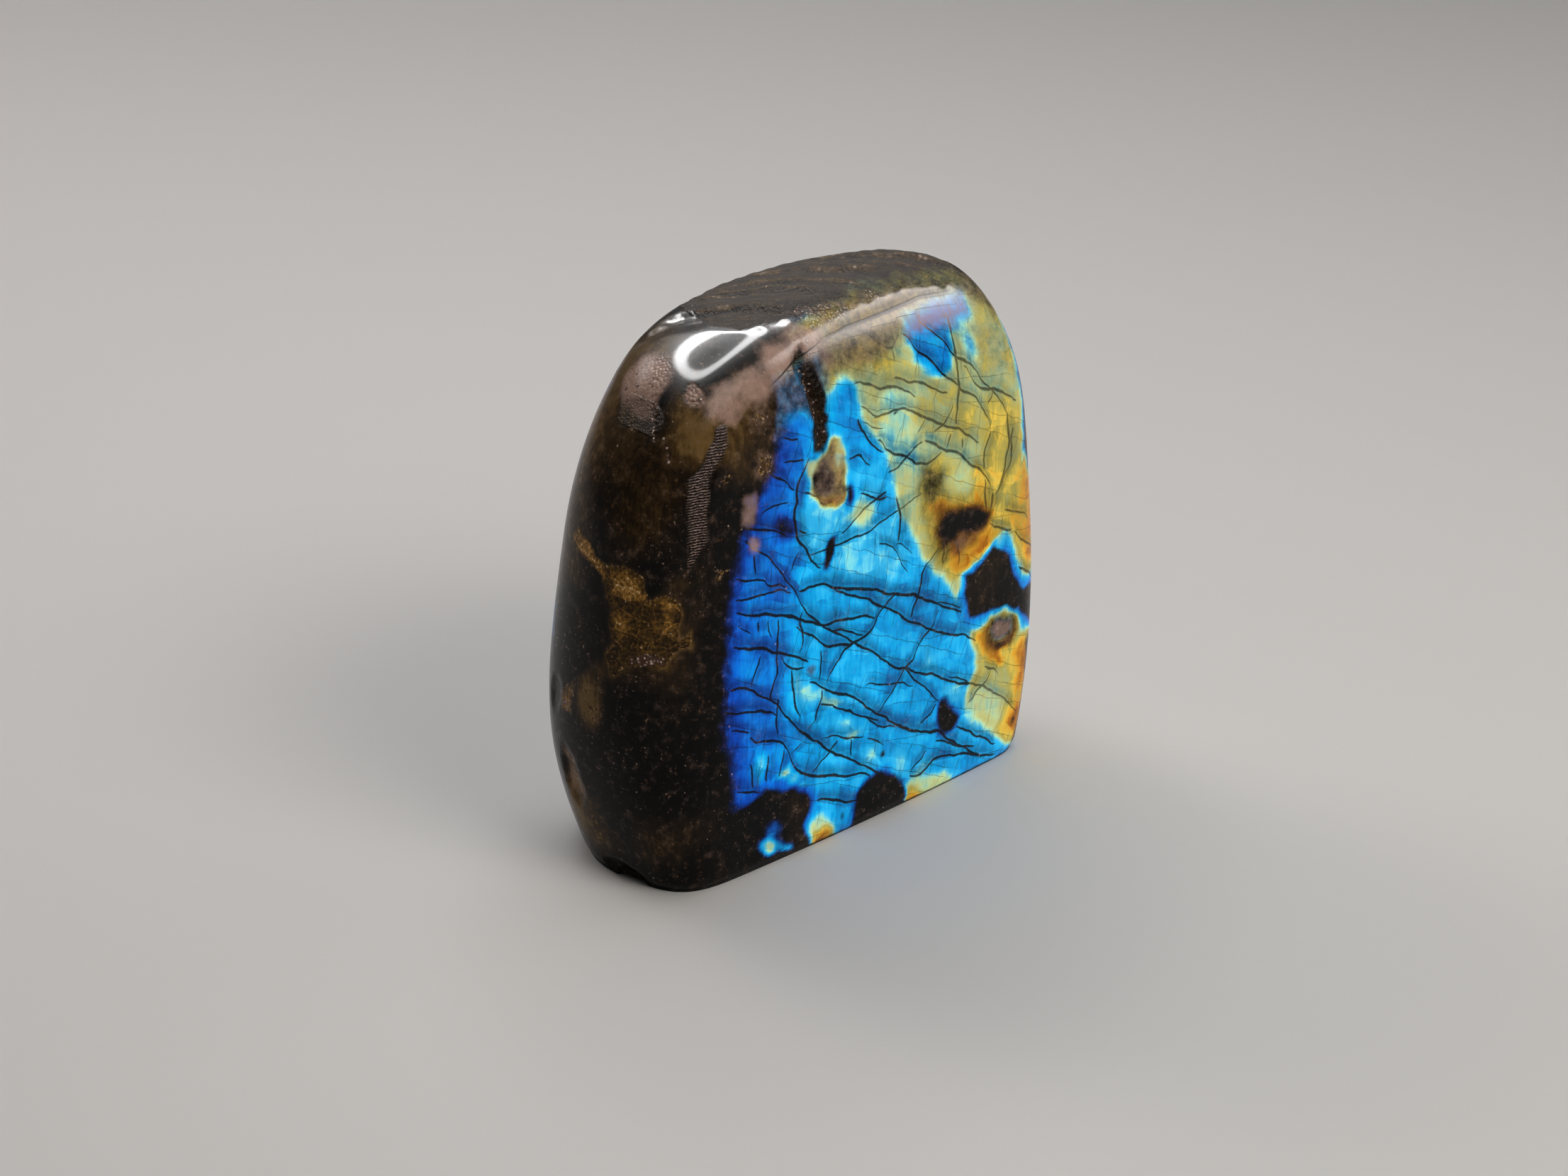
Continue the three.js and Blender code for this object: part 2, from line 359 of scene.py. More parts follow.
def distance_to(shape, a, b):
    """How far points (a, b) are outside a shape: a polygon, or an ellipse as (a, b, half a, half b, turn)."""
    if isinstance(shape, tuple):
        middle_a, middle_b, half_a, half_b, turn = shape
        c, s = math.cos(math.radians(turn)), math.sin(math.radians(turn))
        across = ((a - middle_a) * c + (b - middle_b) * s) / half_a
        up = ((b - middle_b) * c - (a - middle_a) * s) / half_b
        return (np.hypot(across, up) - 1) * min(half_a, half_b)
    nearest = np.full(a.shape, np.inf)
    odd = np.zeros(a.shape, bool)
    for (a0, b0), (a1, b1) in zip(shape, shape[1:] + shape[:1]):
        share = ((a - a0) * (a1 - a0) + (b - b0) * (b1 - b0)) / ((a1 - a0) ** 2 + (b1 - b0) ** 2)
        share = np.clip(share, 0, 1)
        nearest = np.minimum(nearest, np.hypot(a - a0 - share * (a1 - a0), b - b0 - share * (b1 - b0)))
        if b0 != b1:
            odd ^= ((b0 > b) != (b1 > b)) & (a < a0 + (a1 - a0) * (b - b0) / (b1 - b0))
    return np.where(odd, -nearest, nearest)


torn_top = distance_to(TOP, points[:, 0] + 2 * wobble_x, points[:, 1] + 2 * wobble_z)
torn_top = ramp(torn_top, 0.8, -0.8) * (points[:, 2] > 80)
depth += CRUMBLE * torn_top * (1 + waves(points, 3.2, seed=4))
print("the broken top is", round(100 * float(torn_top.mean()), 1), "% of the net")

# %% [markdown]
# ## Where the flash is, and of which colour
# In the rock the colour depends on how thick the layers are, so the painting is done with that: lamella
# runs from 0, too thin to flash, through blue, cyan, pale and yellow to 1, brown. Glow is how strongly a
# place flashes at all, and milk is how pale the cloudy rock under it is. Along the ridge and on the dark
# shoulder the milk also stands for pale sheen, a painted reflection of the lamps. Each patch is a shape
# on the face, read off a ruler laid over it in millimetres, x to the right and z up. Where two patches of
# different layer thickness meet, the colours between them show as a fringe, as they do in the stone. The
# values are stored at the net's points, like weights.

# %% Shapes on the face
# name, shape, softness of its edge in mm, lamella, glow, milk with painted sheen (None leaves one as it is)
PATCHES = [
    ("the whole flash", [(-29.5, 14), (-29.8, 20), (-30, 25), (-31.6, 27), (-32, 31), (-31.4, 36),
        (-30.6, 44), (-30.4, 49), (-30, 54), (-28.8, 60), (-26.8, 65), (-24.6, 69), (-21.6, 72),
        (-19.4, 76), (-17, 80), (-15.8, 84), (-14.5, 88), (-11, 90.6), (-6, 92.2), (2, 92.9), (11, 92.9),
        (21, 92.6), (30, 91.2), (36, 89), (41, 86), (45, 81), (49, 74), (52, 60), (52, -2), (-30, -2)], 5,
        0.42, 1, 0),
    ("deep blue side", [(-34, 0), (-16, 0), (-16, 12), (-17, 24), (-18, 36), (-17, 47), (-16, 52),
        (-15.5, 60), (-14.5, 66), (-12.5, 71), (-11, 78), (-10, 90), (-34, 90)], 8, 0.27, None, None),
    ("violet rim", [(-34, 0), (-28.6, 14), (-29.4, 30), (-29.6, 45), (-28.4, 58), (-24.5, 67), (-18, 76),
        (-16, 90), (-40, 90)], 4.6, 0.08, None, None),
    ("light azure plates", [(-15.6, 62), (-14, 65.5), (-12, 67), (-9, 66), (-4, 65), (-1, 64), (7, 60),
        (9.5, 55), (11.5, 50), (8, 46), (0, 48.2), (-6, 49.8), (-9, 54), (-11, 57), (-14, 59.5)], 3, 0.5,
        None, None),
    ("blue tongue", [(-5, 84), (-3.5, 85.4), (-1.5, 84.4), (-0.5, 81), (0.4, 77), (2.6, 74), (5.6, 70),
        (7, 66), (7.6, 60), (-2, 59), (-3, 66), (-3.6, 72), (-4.5, 76), (-5.3, 80)], 1.6, 0.37, 1, None),
    ("azure foot of the tongue", [(-2, 70), (5, 70), (7, 66), (7.6, 60), (-2, 60)], 3, 0.45, None, None),
    ("yellow field", [(-6.6, 85), (-4.8, 86), (-2.5, 86.4), (-0.6, 84.8), (0.2, 81.5), (0.9, 77.5),
        (3.1, 74.4), (6.1, 70), (7.5, 66), (8.1, 62), (8.7, 59), (10.1, 56.5), (12.4, 52.8), (14.8, 47.6),
        (17, 45.6), (19.5, 42.8), (21.5, 40.2), (23, 37.6), (24.3, 36.2), (25.2, 40.6), (27, 42.6),
        (31, 43.6), (34.5, 45.6), (37, 46.6), (39, 44.6), (39.8, 40.6), (41, 37.8), (44, 34.8), (52, 33),
        (52, 96), (-7.5, 96)], 1.8, 0.7, 0.76, None),
    ("olive under the ridge", [(-12, 91.5), (-7.5, 84), (-2.5, 87), (4, 84.5), (9, 86.5), (13.5, 88.5),
        (16, 92), (18, 96), (-12, 96)], 4, 0.74, 0.36, 0.4),
    ("muted green", [(1, 85), (6, 85.6), (12, 83), (13.4, 78), (10, 76.4), (5, 78.4), (1.6, 80)], 4, 0.68,
        0.55, 0.1),
    ("tan left of the crack", [(-17, 94), (-5, 94), (-5, 90), (-8, 87.5), (-10, 84.5), (-13, 84),
        (-17, 88)], 3, 0.8, 0, 0.5),
    ("pale plates", (10, 75.5, 4.6, 3.8, -30), 4, 0.64, 1, None),
    ("pale cyan plate", (7.6, 80.2, 2, 1.4, 0), 1.5, 0.6, 0.8, None),
    ("teal streaks", [(8.4, 71.5), (11, 71.6), (13.6, 69), (14.6, 66.6), (13, 65), (10.6, 67.6),
        (8.4, 69.6)], 2.2, 0.59, 0.55, None),
    ("teal left of it", [(4.4, 76), (6, 76), (9, 72), (11, 68), (9.6, 67.4), (6.6, 70.6), (4.6, 73.4)], 1.6,
        0.6, 0.7, None),
    ("mustard plates", [(13, 74.5), (16, 80), (22, 78.5), (27, 75.5), (30, 72), (31, 66), (26, 66),
        (20, 70), (15, 70.5)], 3.5, 0.735, 0.7, None),
    ("yellow plates", [(31, 74), (36, 73), (41, 68), (45, 58), (46, 50), (40, 47), (34, 49), (31, 56),
        (30, 64)], 5, 0.785, 1.1, None),
    ("orange edge", [(41, 56), (44, 60), (49, 58), (50, 36), (43, 37), (41, 42), (38, 46.6), (36, 49),
        (40, 52)], 4, 0.91, 0.9, None),
    ("gold sliver", [(28.6, 62), (31.4, 57.5), (33, 53), (31.5, 51), (28.5, 53), (27, 57)], 2.5, 0.89, None,
        None),
    ("grey patch", [(14.6, 66), (18, 65), (21, 63), (20.4, 60), (18, 56.8), (15.5, 57.4), (14.2, 61)], 3,
        0.74, 0.28, 0.1),
    ("pale green plate", (25, 59, 3, 2, 0), 3, 0.67, 0.95, None),
    ("brown round the pit", [(15.5, 58), (20, 58.6), (25, 56), (30, 54), (33, 52), (33.5, 48), (30, 44.8),
        (24, 43.4), (19.4, 46), (17, 51)], 4, 0.9, 0.42, 0.1),
    ("orange by the pit", [(29.4, 44.6), (29.4, 47.8), (33, 48.7), (36, 47), (34.6, 45.6), (32, 44.2)], 1.5,
        0.92, 0.9, None),
    ("gold below the pit", [(21, 44.4), (24.6, 46.6), (29, 46), (31, 44.6), (27, 42.6), (23.4, 41.6)], 1.6,
        0.92, 0.75, None),
    ("the pit", [(19.6, 53), (21, 54.6), (24, 54), (27, 53.6), (30, 53), (32, 51.4), (31, 49.4),
        (27.6, 49.6), (23.5, 50), (20, 49), (18.6, 51.4)], 2.4, 1, 0, 0),
    ("below the pit", (25, 47.8, 2.2, 1.4, 0), 1.6, 0.95, 0.4, 0.35),
    # The milk of the next patches, along the roll under the ridge, is partly painted sheen: the whitish
    # reflection of a large lamp.
    ("pale top right", [(27, 84), (30, 88), (38, 86), (42, 80), (41, 74), (36, 75), (31, 78)], 4, 0.71,
        0.55, 0.35),
    ("dull roll above it", [(-2, 88.5), (6, 89.6), (14, 90.4), (25, 91), (32, 90), (37.5, 87), (42, 82),
        (46, 76), (52, 74), (52, 98), (-4, 98)], 3, 0.74, 0.3, 0.3),
    ("blue in the pale", (29.2, 83.4, 1.5, 2.8, 20), 2, 0.5, 0.6, 0.3),
    ("lavender veil", [(14, 88), (25, 87.6), (31.5, 87.6), (32, 90.6), (24, 91.8), (15, 91.4)], 3, 0.26,
        0.45, 0.85),
    ("blue patch", [(14.4, 88), (15, 84.6), (17.4, 82), (20.5, 80.4), (23, 81), (24.5, 84), (24.6, 86.8),
        (22, 88), (18, 88.4)], 1.8, 0.36, 0.95, 0),
    ("cyan in the blue patch", (21.4, 86.5, 1.6, 0.8, 0), 1.2, 0.48, None, None),
    ("blue at the right edge", [(41, 84.5), (42.2, 80), (42.8, 72), (42.4, 66), (42.2, 58), (43.4, 66),
        (45.6, 66), (47, 80)], 1.6, 0.42, 0.6, None),
    ("dark right edge", [(42.6, 82), (43.8, 70), (43.2, 61), (45, 55), (52, 57), (52, 87)], 1.8, 0.1, 0, 0),
    ("fringe of the black patch", [(26, 41.4), (28, 41.8), (31, 43.2), (33.5, 45), (35.5, 44.4),
        (37.6, 42.4), (39, 40.6), (39.7, 38), (41.2, 35.6), (43.2, 33.7), (52, 33), (52, 23), (45, 24.6),
        (42.5, 26.8), (40.5, 28.8), (37, 30.3), (34, 30.8), (32, 31.2), (29, 30.8), (27, 31.6), (25.6, 35),
        (25.2, 38)], 1.8, 0.24, None, None),
    ("pale tip of the fringe", (35.4, 45, 1.6, 1, 40), 1.4, 0.56, 1, None),
    ("the black patch", [(26.4, 41), (28.4, 41.2), (31, 42.6), (33.5, 44.3), (35.2, 43.6), (37.2, 41.8),
        (38.4, 40), (39.1, 37.6), (40.6, 35), (42.8, 33), (52, 32), (52, 24), (45.4, 25.4), (43, 27.6),
        (41, 29.5), (37.2, 31), (34, 31.6), (32, 32), (29, 31.5), (27.4, 32.3), (26.2, 35), (25.8, 38)],
        1.1, None, 0, 0),
    ("lower right yellow", [(27.6, 29.4), (28.6, 25), (29.3, 21.5), (27.8, 19), (26.5, 17), (26.6, 15),
        (28, 12), (31, 9), (34, 6.5), (37, 3.8), (39, 2), (52, 2), (52, 22), (43, 24.4), (39, 23.4),
        (36, 22), (33, 25), (30.5, 29.4)], 1.6, 0.74, 0.95, None),
    ("cream plates", [(27, 14.6), (30, 17), (34, 16), (37, 13), (38, 9), (36, 6), (33, 8.5), (29.5, 12)], 3,
        0.67, 1, 0.3),
    ("orange lower right", [(38, 6), (40, 10), (40.4, 17), (39, 21), (42, 23.6), (52, 20), (52, 4),
        (41, 3)], 3, 0.9, 0.95, None),
    ("dark lower right edge", [(43.6, 22), (44.4, 14), (43, 6), (40.5, 1.5), (52, 1.5), (52, 24)], 2, None,
        0.1, 0),
    ("orange sickle", [(29, 28.6), (31, 28.2), (34, 23.6), (37.4, 21), (36.2, 19.6), (33, 21.6), (30, 25)],
        1.6, 0.93, 0.9, None),
    ("light blue edge", [(26.6, 13.6), (28.4, 13.2), (31.5, 9.6), (34.4, 7), (32.6, 6), (29, 9)], 1.6, 0.53,
        1, 0),
    ("brown ring", [(30.6, 28.6), (33, 30.6), (37, 30.4), (41, 28), (41.6, 25), (38.6, 22.6), (35, 22.4),
        (32, 24.4)], 2, 0.94, 0.3, 0.1),
    ("smoky eye", [(33, 28), (35, 29.4), (38.4, 28.2), (39, 26), (36.6, 25), (34.6, 25.6)], 1.6, 0.2, 0.14,
        0.55),
    ("fringe of the low black patch", [(-34, 14), (-27, 14.6), (-25, 15.5), (-22.5, 16.6), (-20.4, 15.6),
        (-18, 14.5), (-15.4, 14.1), (-13.8, 12.6), (-12.2, 11.5), (-11, 9.4), (-12.2, 6.6), (-12.9, 5),
        (-12, 3), (-10.6, 1.2), (-10.2, -1), (-34, -1)], 2.6, 0.12, None, None),
    ("the low black patch", [(-34, 13.6), (-27, 14), (-25, 14.9), (-22.5, 16), (-20.6, 15), (-18.2, 13.9),
        (-15.7, 13.5), (-14.2, 12), (-12.7, 11), (-11.6, 9.2), (-12.8, 6.4), (-13.4, 5), (-12.5, 3),
        (-11, 1.2), (-10.8, -1), (-34, -1)], 1.5, None, 0, 0),
    ("blue glint in it", (-21, 7, 2.2, 1.7, -20), 2, 0.26, 0.55, 0),
    ("cyan glint in it", (-21.6, 4, 2.8, 1.6, -20), 1.4, 0.56, 1, 0),
    ("yellow glint in it", (-21.2, 3.7, 1.1, 0.7, -20), 1, 0.72, 1, 0),
    ("glint's tail", (-17.8, 2.2, 2, 0.8, -20), 1, 0.52, 0.8, 0),
    ("black patch in the middle", [(-0.8, 6.8), (2, 9), (4.5, 9.8), (6.2, 9), (9, 7.2), (11, 5), (11.6, 3),
        (12, -1), (-1.5, -1), (-1.6, 4)], 1.6, 0.12, 0, 0),
    ("teal by the small black patch", (23.5, 18.4, 3.2, 2.6, 0), 2, 0.52, 0.8, None),
    ("small black patch", [(19.8, 18.2), (21.8, 18), (22.6, 16), (24.2, 14.6), (25.2, 13), (24.2, 11.5),
        (22, 10.7), (20.2, 11.6), (19.3, 14.5)], 1.6, 0.12, 0, 0),
    ("slit", [(-9.4, 53.4), (-7.9, 53.2), (-7.2, 55.5), (-6.3, 57.5), (-5.8, 59.4), (-8, 58.5),
        (-9.1, 56.5)], 1.1, 0.2, 0, 0),
    ("speck", (-6, 55.2, 0.4, 0.4, 0), 0.8, None, 0.1, 0),
    ("short slit", (-6.9, 44.4, 0.5, 1.5, 0), 0.9, None, 0.2, 0),
    ("low slit", (-4.2, 3.6, 0.5, 1.1, 0), 0.9, None, 0.2, 0),
    ("blue-black oval", (-2.6, 65.2, 0.9, 2, 0), 1, 0.15, 0.1, 0),
    ("black beside it", (-4.1, 66.7, 1, 0.5, 0), 0.8, None, 0, 0),
    ("dot on the pale plate", (9, 76.8, 0.5, 0.3, 0), 0.7, None, 0, 0),
    ("dot low in the middle", (5.5, 12.6, 0.6, 0.7, 0), 0.8, None, 0, 0),
    ("smaller dot", (1.6, 13.3, 0.4, 0.3, 0), 0.7, None, 0, 0),
    ("tan patch", [(-12.4, 73.8), (-10.2, 73.7), (-8, 75), (-6.3, 77), (-4.7, 76), (-3.9, 73), (-3.5, 70.5),
        (-3.8, 67), (-4.2, 64.8), (-6.5, 64.3), (-8.5, 64.8), (-10, 66), (-11.6, 68), (-11.2, 70),
        (-12.6, 71.8)], 1.4, 0.8, 0.3, 0.4),
    ("grey in it", (-8.6, 69.6, 1.6, 3.2, 12), 1.8, 0.6, 0.08, 0.25),
    ("cream in it", (-5.2, 73.4, 0.8, 2.2, -10), 1.2, 0.66, 0.6, 0.6),
    ("cream edge of it", [(-12.2, 73.6), (-10.4, 73.5), (-11, 69.4), (-11.6, 67.6), (-12.2, 70)], 1, 0.66,
        0.7, 0.5),
    ("orange rim of it", [(-10.6, 67.4), (-9, 65.4), (-6.5, 64.3), (-4, 64.8), (-3.8, 66), (-6.5, 66),
        (-9, 66.8)], 1, 0.9, 0.35, 0.3),
    ("dark in it", (-10.9, 70.4, 0.6, 1.2, 0), 0.9, None, 0, 0),
    ("cream patch", [(-3.4, 61), (-2, 63.4), (0, 64), (3, 62.6), (3.4, 60.4), (2.5, 58.8), (0, 58.6),
        (-1.6, 59.5)], 1.8, 0.65, 1, 0.1),
    ("green-cyan streak", [(-16.8, 38), (-15.4, 37), (-14.4, 33.4), (-12, 31.4), (-9.4, 31.6), (-9, 30),
        (-11.5, 28.6), (-14, 29.4), (-16.6, 32.4)], 1.8, 0.54, None, None),
    ("pale glint", [(-10.7, 29.5), (-9.5, 29.7), (-6, 27.7), (-5, 26.4), (-7, 26.1), (-10, 28)], 1, 0.63,
        None, 0.2),
    ("second glint", (-2.2, 19.3, 1.7, 0.8, -5), 1, 0.66, None, 0.2),
    ("cyan over it", (-4, 21.6, 2.4, 1.2, -35), 1.5, 0.55, None, None),
    ("yellow spot", (-18.7, 17.3, 1.4, 1, 0), 1.2, 0.69, None, None),
    ("cyan beside it", (-16.3, 15.6, 1.3, 1, -30), 1.2, 0.56, None, None),
    ("pale tip", (-13.9, 13.6, 0.9, 0.5, -20), 0.8, 0.6, 1, None),
    ("cyan low in the middle", (2.7, 13.5, 2, 1.8, 0), 2, 0.54, None, None),
    ("cyan streak right", (16.6, 27.6, 1.4, 3.2, 25), 2, 0.53, None, None),
    ("cyan streak low", (10.2, 8.6, 1.5, 3.2, 10), 2, 0.53, None, None),
    ("cyan plate left", (-24.3, 20.6, 1.5, 2.4, 0), 1.5, 0.49, None, None),
    ("green above the bottom cream", [(12, 6), (16, 8), (19.4, 6.4), (17, 4.6), (13, 4.6)], 1.6, 0.55, 1,
        None),
    ("bottom cream", [(11.6, 4.4), (13.2, 5.4), (15, 5.4), (17, 4.2), (20, 3.2), (22.5, 3), (24, 1.6),
        (25, -1), (13, -1)], 1.6, 0.66, 1, 0.1),
    ("bottom gold", [(11.6, 4), (13, 3.2), (15.6, 1), (16.8, -1), (12.4, -1)], 1.2, 0.89, 0.85, None),
    ("left bottom cream", [(-12, 5.4), (-10, 5.8), (-8, 4.6), (-6.5, 3), (-5, 0.5), (-5, -1), (-11, -1),
        (-12.6, 3.4)], 1.6, 0.64, 0.9, 0.2),
    ("left bottom gold", [(-11, 2.6), (-8.5, 2.9), (-6.5, 1.6), (-5.4, -1), (-10.6, -1)], 1.2, 0.93, 0.6,
        0.1),
    ("red-brown spot", (-12.4, 35.3, 1.1, 1.4, 0), 1, None, 0.4, 0.35),
    ("pink spot", (-24.8, 62.6, 1.3, 1.5, 20), 1.4, None, 0.3, 0.85),
    ("grey-pink patch", [(-27.6, 67), (-25, 66.2), (-23.6, 69), (-24.4, 72), (-26.6, 71.6)], 1.6, None, 0.3,
        0.6),
    ("navy patch", [(-19.6, 66.4), (-17, 66), (-15.8, 63.4), (-16.4, 61.2), (-19.4, 61.6), (-20.6, 64)], 2,
        0.12, 0.35, 0),
    ("brown veil", [(-19, 80), (-17, 82.6), (-13, 83), (-10, 80), (-7, 86), (-6, 92), (-18, 90)], 3, 0.4,
        0.3, 0.25),
    ("dark beside the crack", [(-10.6, 90), (-8.8, 90), (-7.6, 86), (-6.9, 80), (-7.2, 77), (-9, 74.6),
        (-11, 75.4), (-10.8, 79), (-10.2, 84), (-10.6, 87)], 1.2, None, 0, 0),
]

# %% Paint the front
face_x = points[:, 0] + wobble_x
face_z = points[:, 2] + wobble_z
lamella = np.full(len(points), 0.3)
glow = np.zeros(len(points))
milk_and_sheen = np.zeros(len(points))
for _, shape, soft, thickness, strength, pallor in PATCHES:
    cover = ramp(distance_to(shape, face_x, face_z), 0.75 * soft, -0.75 * soft)
    for values, target in ((lamella, thickness), (glow, strength), (milk_and_sheen, pallor)):
        if target is not None:
            values += (target - values) * cover
rounding_away = normals[:, 1] + 0.1 * waves(points, 9, seed=13) + 0.06 * waves(points, 3, seed=14)
front = ramp(rounding_away, 0.02, -0.55)
glow *= front
milk_and_sheen *= front
print(len(PATCHES), "patches; the flash covers", round(100 * float((glow > 0.3).mean()), 1), "% of the net")

# %% Let the back flash too, but less
behind = ramp(normals[:, 1], 0.3, 0.8)
drawn_out = points * [0.8, 1, 1.7] + points[:, [2, 1, 0]] * [0.5, 0, -0.3]
veil = waves(drawn_out, 34, seed=21) + 0.55 * waves(drawn_out, 13, seed=23) + 0.35 * waves(points, 5, seed=24)
glow += behind * 0.5 * ramp(veil, -0.1, 1.5)
lamella += behind * (0.2 + 0.16 * ramp(veil, 0.2, 1.5) + 0.04 * waves(drawn_out, 9, seed=22) - lamella)

# %% [markdown]
# ## The dark end and the shoulders
# Away from the flash the rock is nearly black, with brown and olive depths where light gets in, a fan of
# gold flakes along an old crack, and milky pink spots near the top. The end is painted as if it were
# unrolled: a ruler runs around the stone 45 mm up, with 0 at the middle of the flash face and minus towards
# the dark end. The shoulders curve too much for that, so there the spots are balls in space.

# %% Unroll the sides
GIRDLE = 45
turns = np.radians(np.arange(-180, 180.5, 0.5))
level = np.zeros(len(turns))
axis_points = np.stack([level, level, level + GIRDLE], -1)
girdle = surface_from(axis_points, np.stack([np.sin(turns), -np.cos(turns), level], -1))
travelled = np.concatenate([[0], np.cumsum(np.linalg.norm(np.diff(girdle, axis=0), axis=1))])
travelled -= np.interp(0, turns, travelled)
around = np.interp(np.arctan2(points[:, 0], -points[:, 1]), turns, travelled)
print("around the girdle:", round(float(travelled[-1] - travelled[0])), "mm")

# %% Paint the dark rock
# name, shape on the unrolled side or ball (x, y, z, radius), softness, gold, milk with painted sheen, tone,
# crust
ROCK = [
    ("brown left edge", [(-76, 98), (-56, 96), (-57, 78), (-57, 64), (-62, 56), (-72, 50), (-80, 60)], 12,
        0, 0, 0.75, 0),
    ("dim brown upper end", [(-62, 84), (-45, 86), (-41, 76), (-44, 66), (-55, 62), (-62, 70)], 9, None,
        None, 0.55, None),
    ("olive round the pocket", [(-48, 90), (-30, 88), (-31, 80), (-37, 79), (-45, 80)], 6, None, None, 1,
        None),
    ("brown above the blue", [(-34, 92), (-18, 92), (-19, 80), (-24, 72), (-30, 74), (-34, 80)], 6, None,
        None, 0.85, None),
    ("brown under the flakes", [(-60, 44), (-50, 46), (-38, 54), (-40, 42), (-52, 40), (-58, 38)], 8, None,
        None, 0.6, None),
    ("brown low left", [(-66, 16), (-56, 18), (-54, 6), (-60, 3), (-68, 4)], 7, None, None, 0.75, None),
    ("brown low middle", (-44, 12, 8, 7, 0), 8, None, None, 0.4, None),
    ("black under the flakes", [(-66, 52), (-56, 58), (-55, 46), (-59, 40), (-68, 42)], 4, None, None, 0,
        None),
    ("gold streak", [(-66.5, 62.2), (-64.2, 64.8), (-61.5, 64.4), (-58.8, 62.5), (-55, 60.6), (-52, 58),
        (-54, 57.4), (-58.5, 60.2), (-62.3, 61)], 1.4, 0.75, None, None, None),
    ("gold flakes", [(-55.6, 60.8), (-51.5, 62.2), (-47.3, 60.8), (-46.3, 57.5), (-46.5, 56.5),
        (-43.4, 58.1), (-40.3, 56.2), (-40.3, 52.1), (-41.3, 49.4), (-38.4, 50.8), (-38.2, 47.4),
        (-40.8, 47.6), (-43.4, 44.4), (-46.9, 45.2), (-49.6, 44.2), (-52.8, 41.4), (-54.5, 45.5),
        (-52.9, 48.2), (-53.7, 50.9), (-53.3, 53.2), (-55, 56.3)], 1.6, 0.42, None, 1, None),
    ("bright flakes", [(-53.6, 59.8), (-51.5, 60.8), (-48.4, 59.6), (-47.6, 57), (-50, 56), (-52.8, 57)], 2,
        0.75, None, None, None),
    ("bright edge", [(-53.2, 52.4), (-51, 53.4), (-49.6, 51.2), (-51, 48), (-52.4, 49)], 1.6, 0.72, None,
        None, None),
    ("bright corner", [(-43.6, 56.6), (-41.6, 55), (-41.6, 52), (-42.6, 51), (-43.4, 53)], 1.6, 0.75, None,
        None, None),
    ("crust under them", (-46, 46, 3.4, 1.2, 8), 1, None, None, None, 1),
    ("edge of the arc", [(-66, 31), (-62.6, 31.6), (-62.5, 35), (-61, 38.9), (-63.2, 37), (-65.6, 34.6)],
        1.2, 0.6, None, 0.8, 0.3),
    ("olive in the arc", (-58, 35.5, 3.4, 4.6, 0), 4, 0.25, None, 1, None),
    ("chip low left", [(-67, 24), (-62.6, 23.5), (-60.6, 16.4), (-61.4, 15), (-66, 14.6)], 1.4, None, 0.25,
        0.8, 0.2),
    ("gold below the chip", [(-61.4, 12.5), (-59.2, 12.4), (-58.6, 6), (-60.4, 6)], 1.4, 0.4, None, None,
        None),
    ("low streak", (-66.5, 6, 2.6, 1.2, 0), 1.6, 0.35, None, None, None),
    ("flecks near the blue", [(-34.4, 60.6), (-30.6, 60.4), (-30.4, 58), (-34, 58)], 1.4, 0.28, None, None,
        0.2),
    ("flecks by the crack", (-31, 76, 2, 1.2, 10), 1.2, 0.28, None, None, 0.2),
    ("flakes on the black", (-41.6, 58.6, 2.6, 2, 0), 3, 0.2, None, 0.5, None),
    # The milk of the pink spots on the shoulder and of the tan band along the ridge is partly milky rock and
    # partly painted sheen, pale light that the lamps throw back there.
    ("pink milk", (-34, -3, 90, 5.2), 3.5, None, 0.85, 0.5, 0.3),
    ("pink milk beside it", (-36.4, -6, 87.4, 2.6), 2.5, None, 0.7, 0.5, 0.2),
    ("tan below the ring", (-27.6, -16.4, 87.8, 3.3), 3, None, 0.65, 0.8, None),
    ("tan band left", (-21.6, -16.8, 89.3, 3.4), 3, None, 0.65, 0.9, None),
    ("tan band middle", (-15.5, -16, 91.8, 3.2), 3, None, 0.75, 0.8, 0.1),
    ("tan band right", (-8.5, -14.8, 94, 3), 3, None, 0.75, 0.6, 0.2),
    ("pink spot", (-31.6, -13, 89, 1.6), 1.6, None, 0.8, None, 0.5),
    ("reddish bits", (-21.8, -18.8, 84, 2.2), 3, 0.3, 0.3, 1, 0.3),
    ("reddish bits lower", (-21.6, -19.8, 76, 2.4), 3, 0.35, 0.3, 1, 0.3),
    ("white crack", [(-52.4, 88.2), (-51.2, 88.2), (-48.4, 82.6), (-49.2, 82.2)], 0.8, None, None, None,
        0.9),
    ("short white crack", [(-46.6, 82.4), (-46, 82.4), (-44.8, 80), (-45.3, 79.8)], 0.7, None, None, None,
        0.9),
    ("crust on the ridge", (-4.6, -11.9, 96, 2.6), 1.4, None, 0.5, 0.5, 1),
    ("crust on the ridge, right", (0.4, -12.4, 95.8, 2.6), 1.4, None, 0.5, 0.5, 1),
    ("crust on the ridge, end", (4.6, -12.7, 95.4, 1.2), 1, None, 0.4, 0.5, 0.9),
    ("crust on the top", (10.9, -11.2, 95.6, 1.4), 1, None, 0.4, 0.5, 0.9),
]
gold = np.zeros(len(points))
tone = np.full(len(points), 0.15)
crust = np.zeros(len(points))
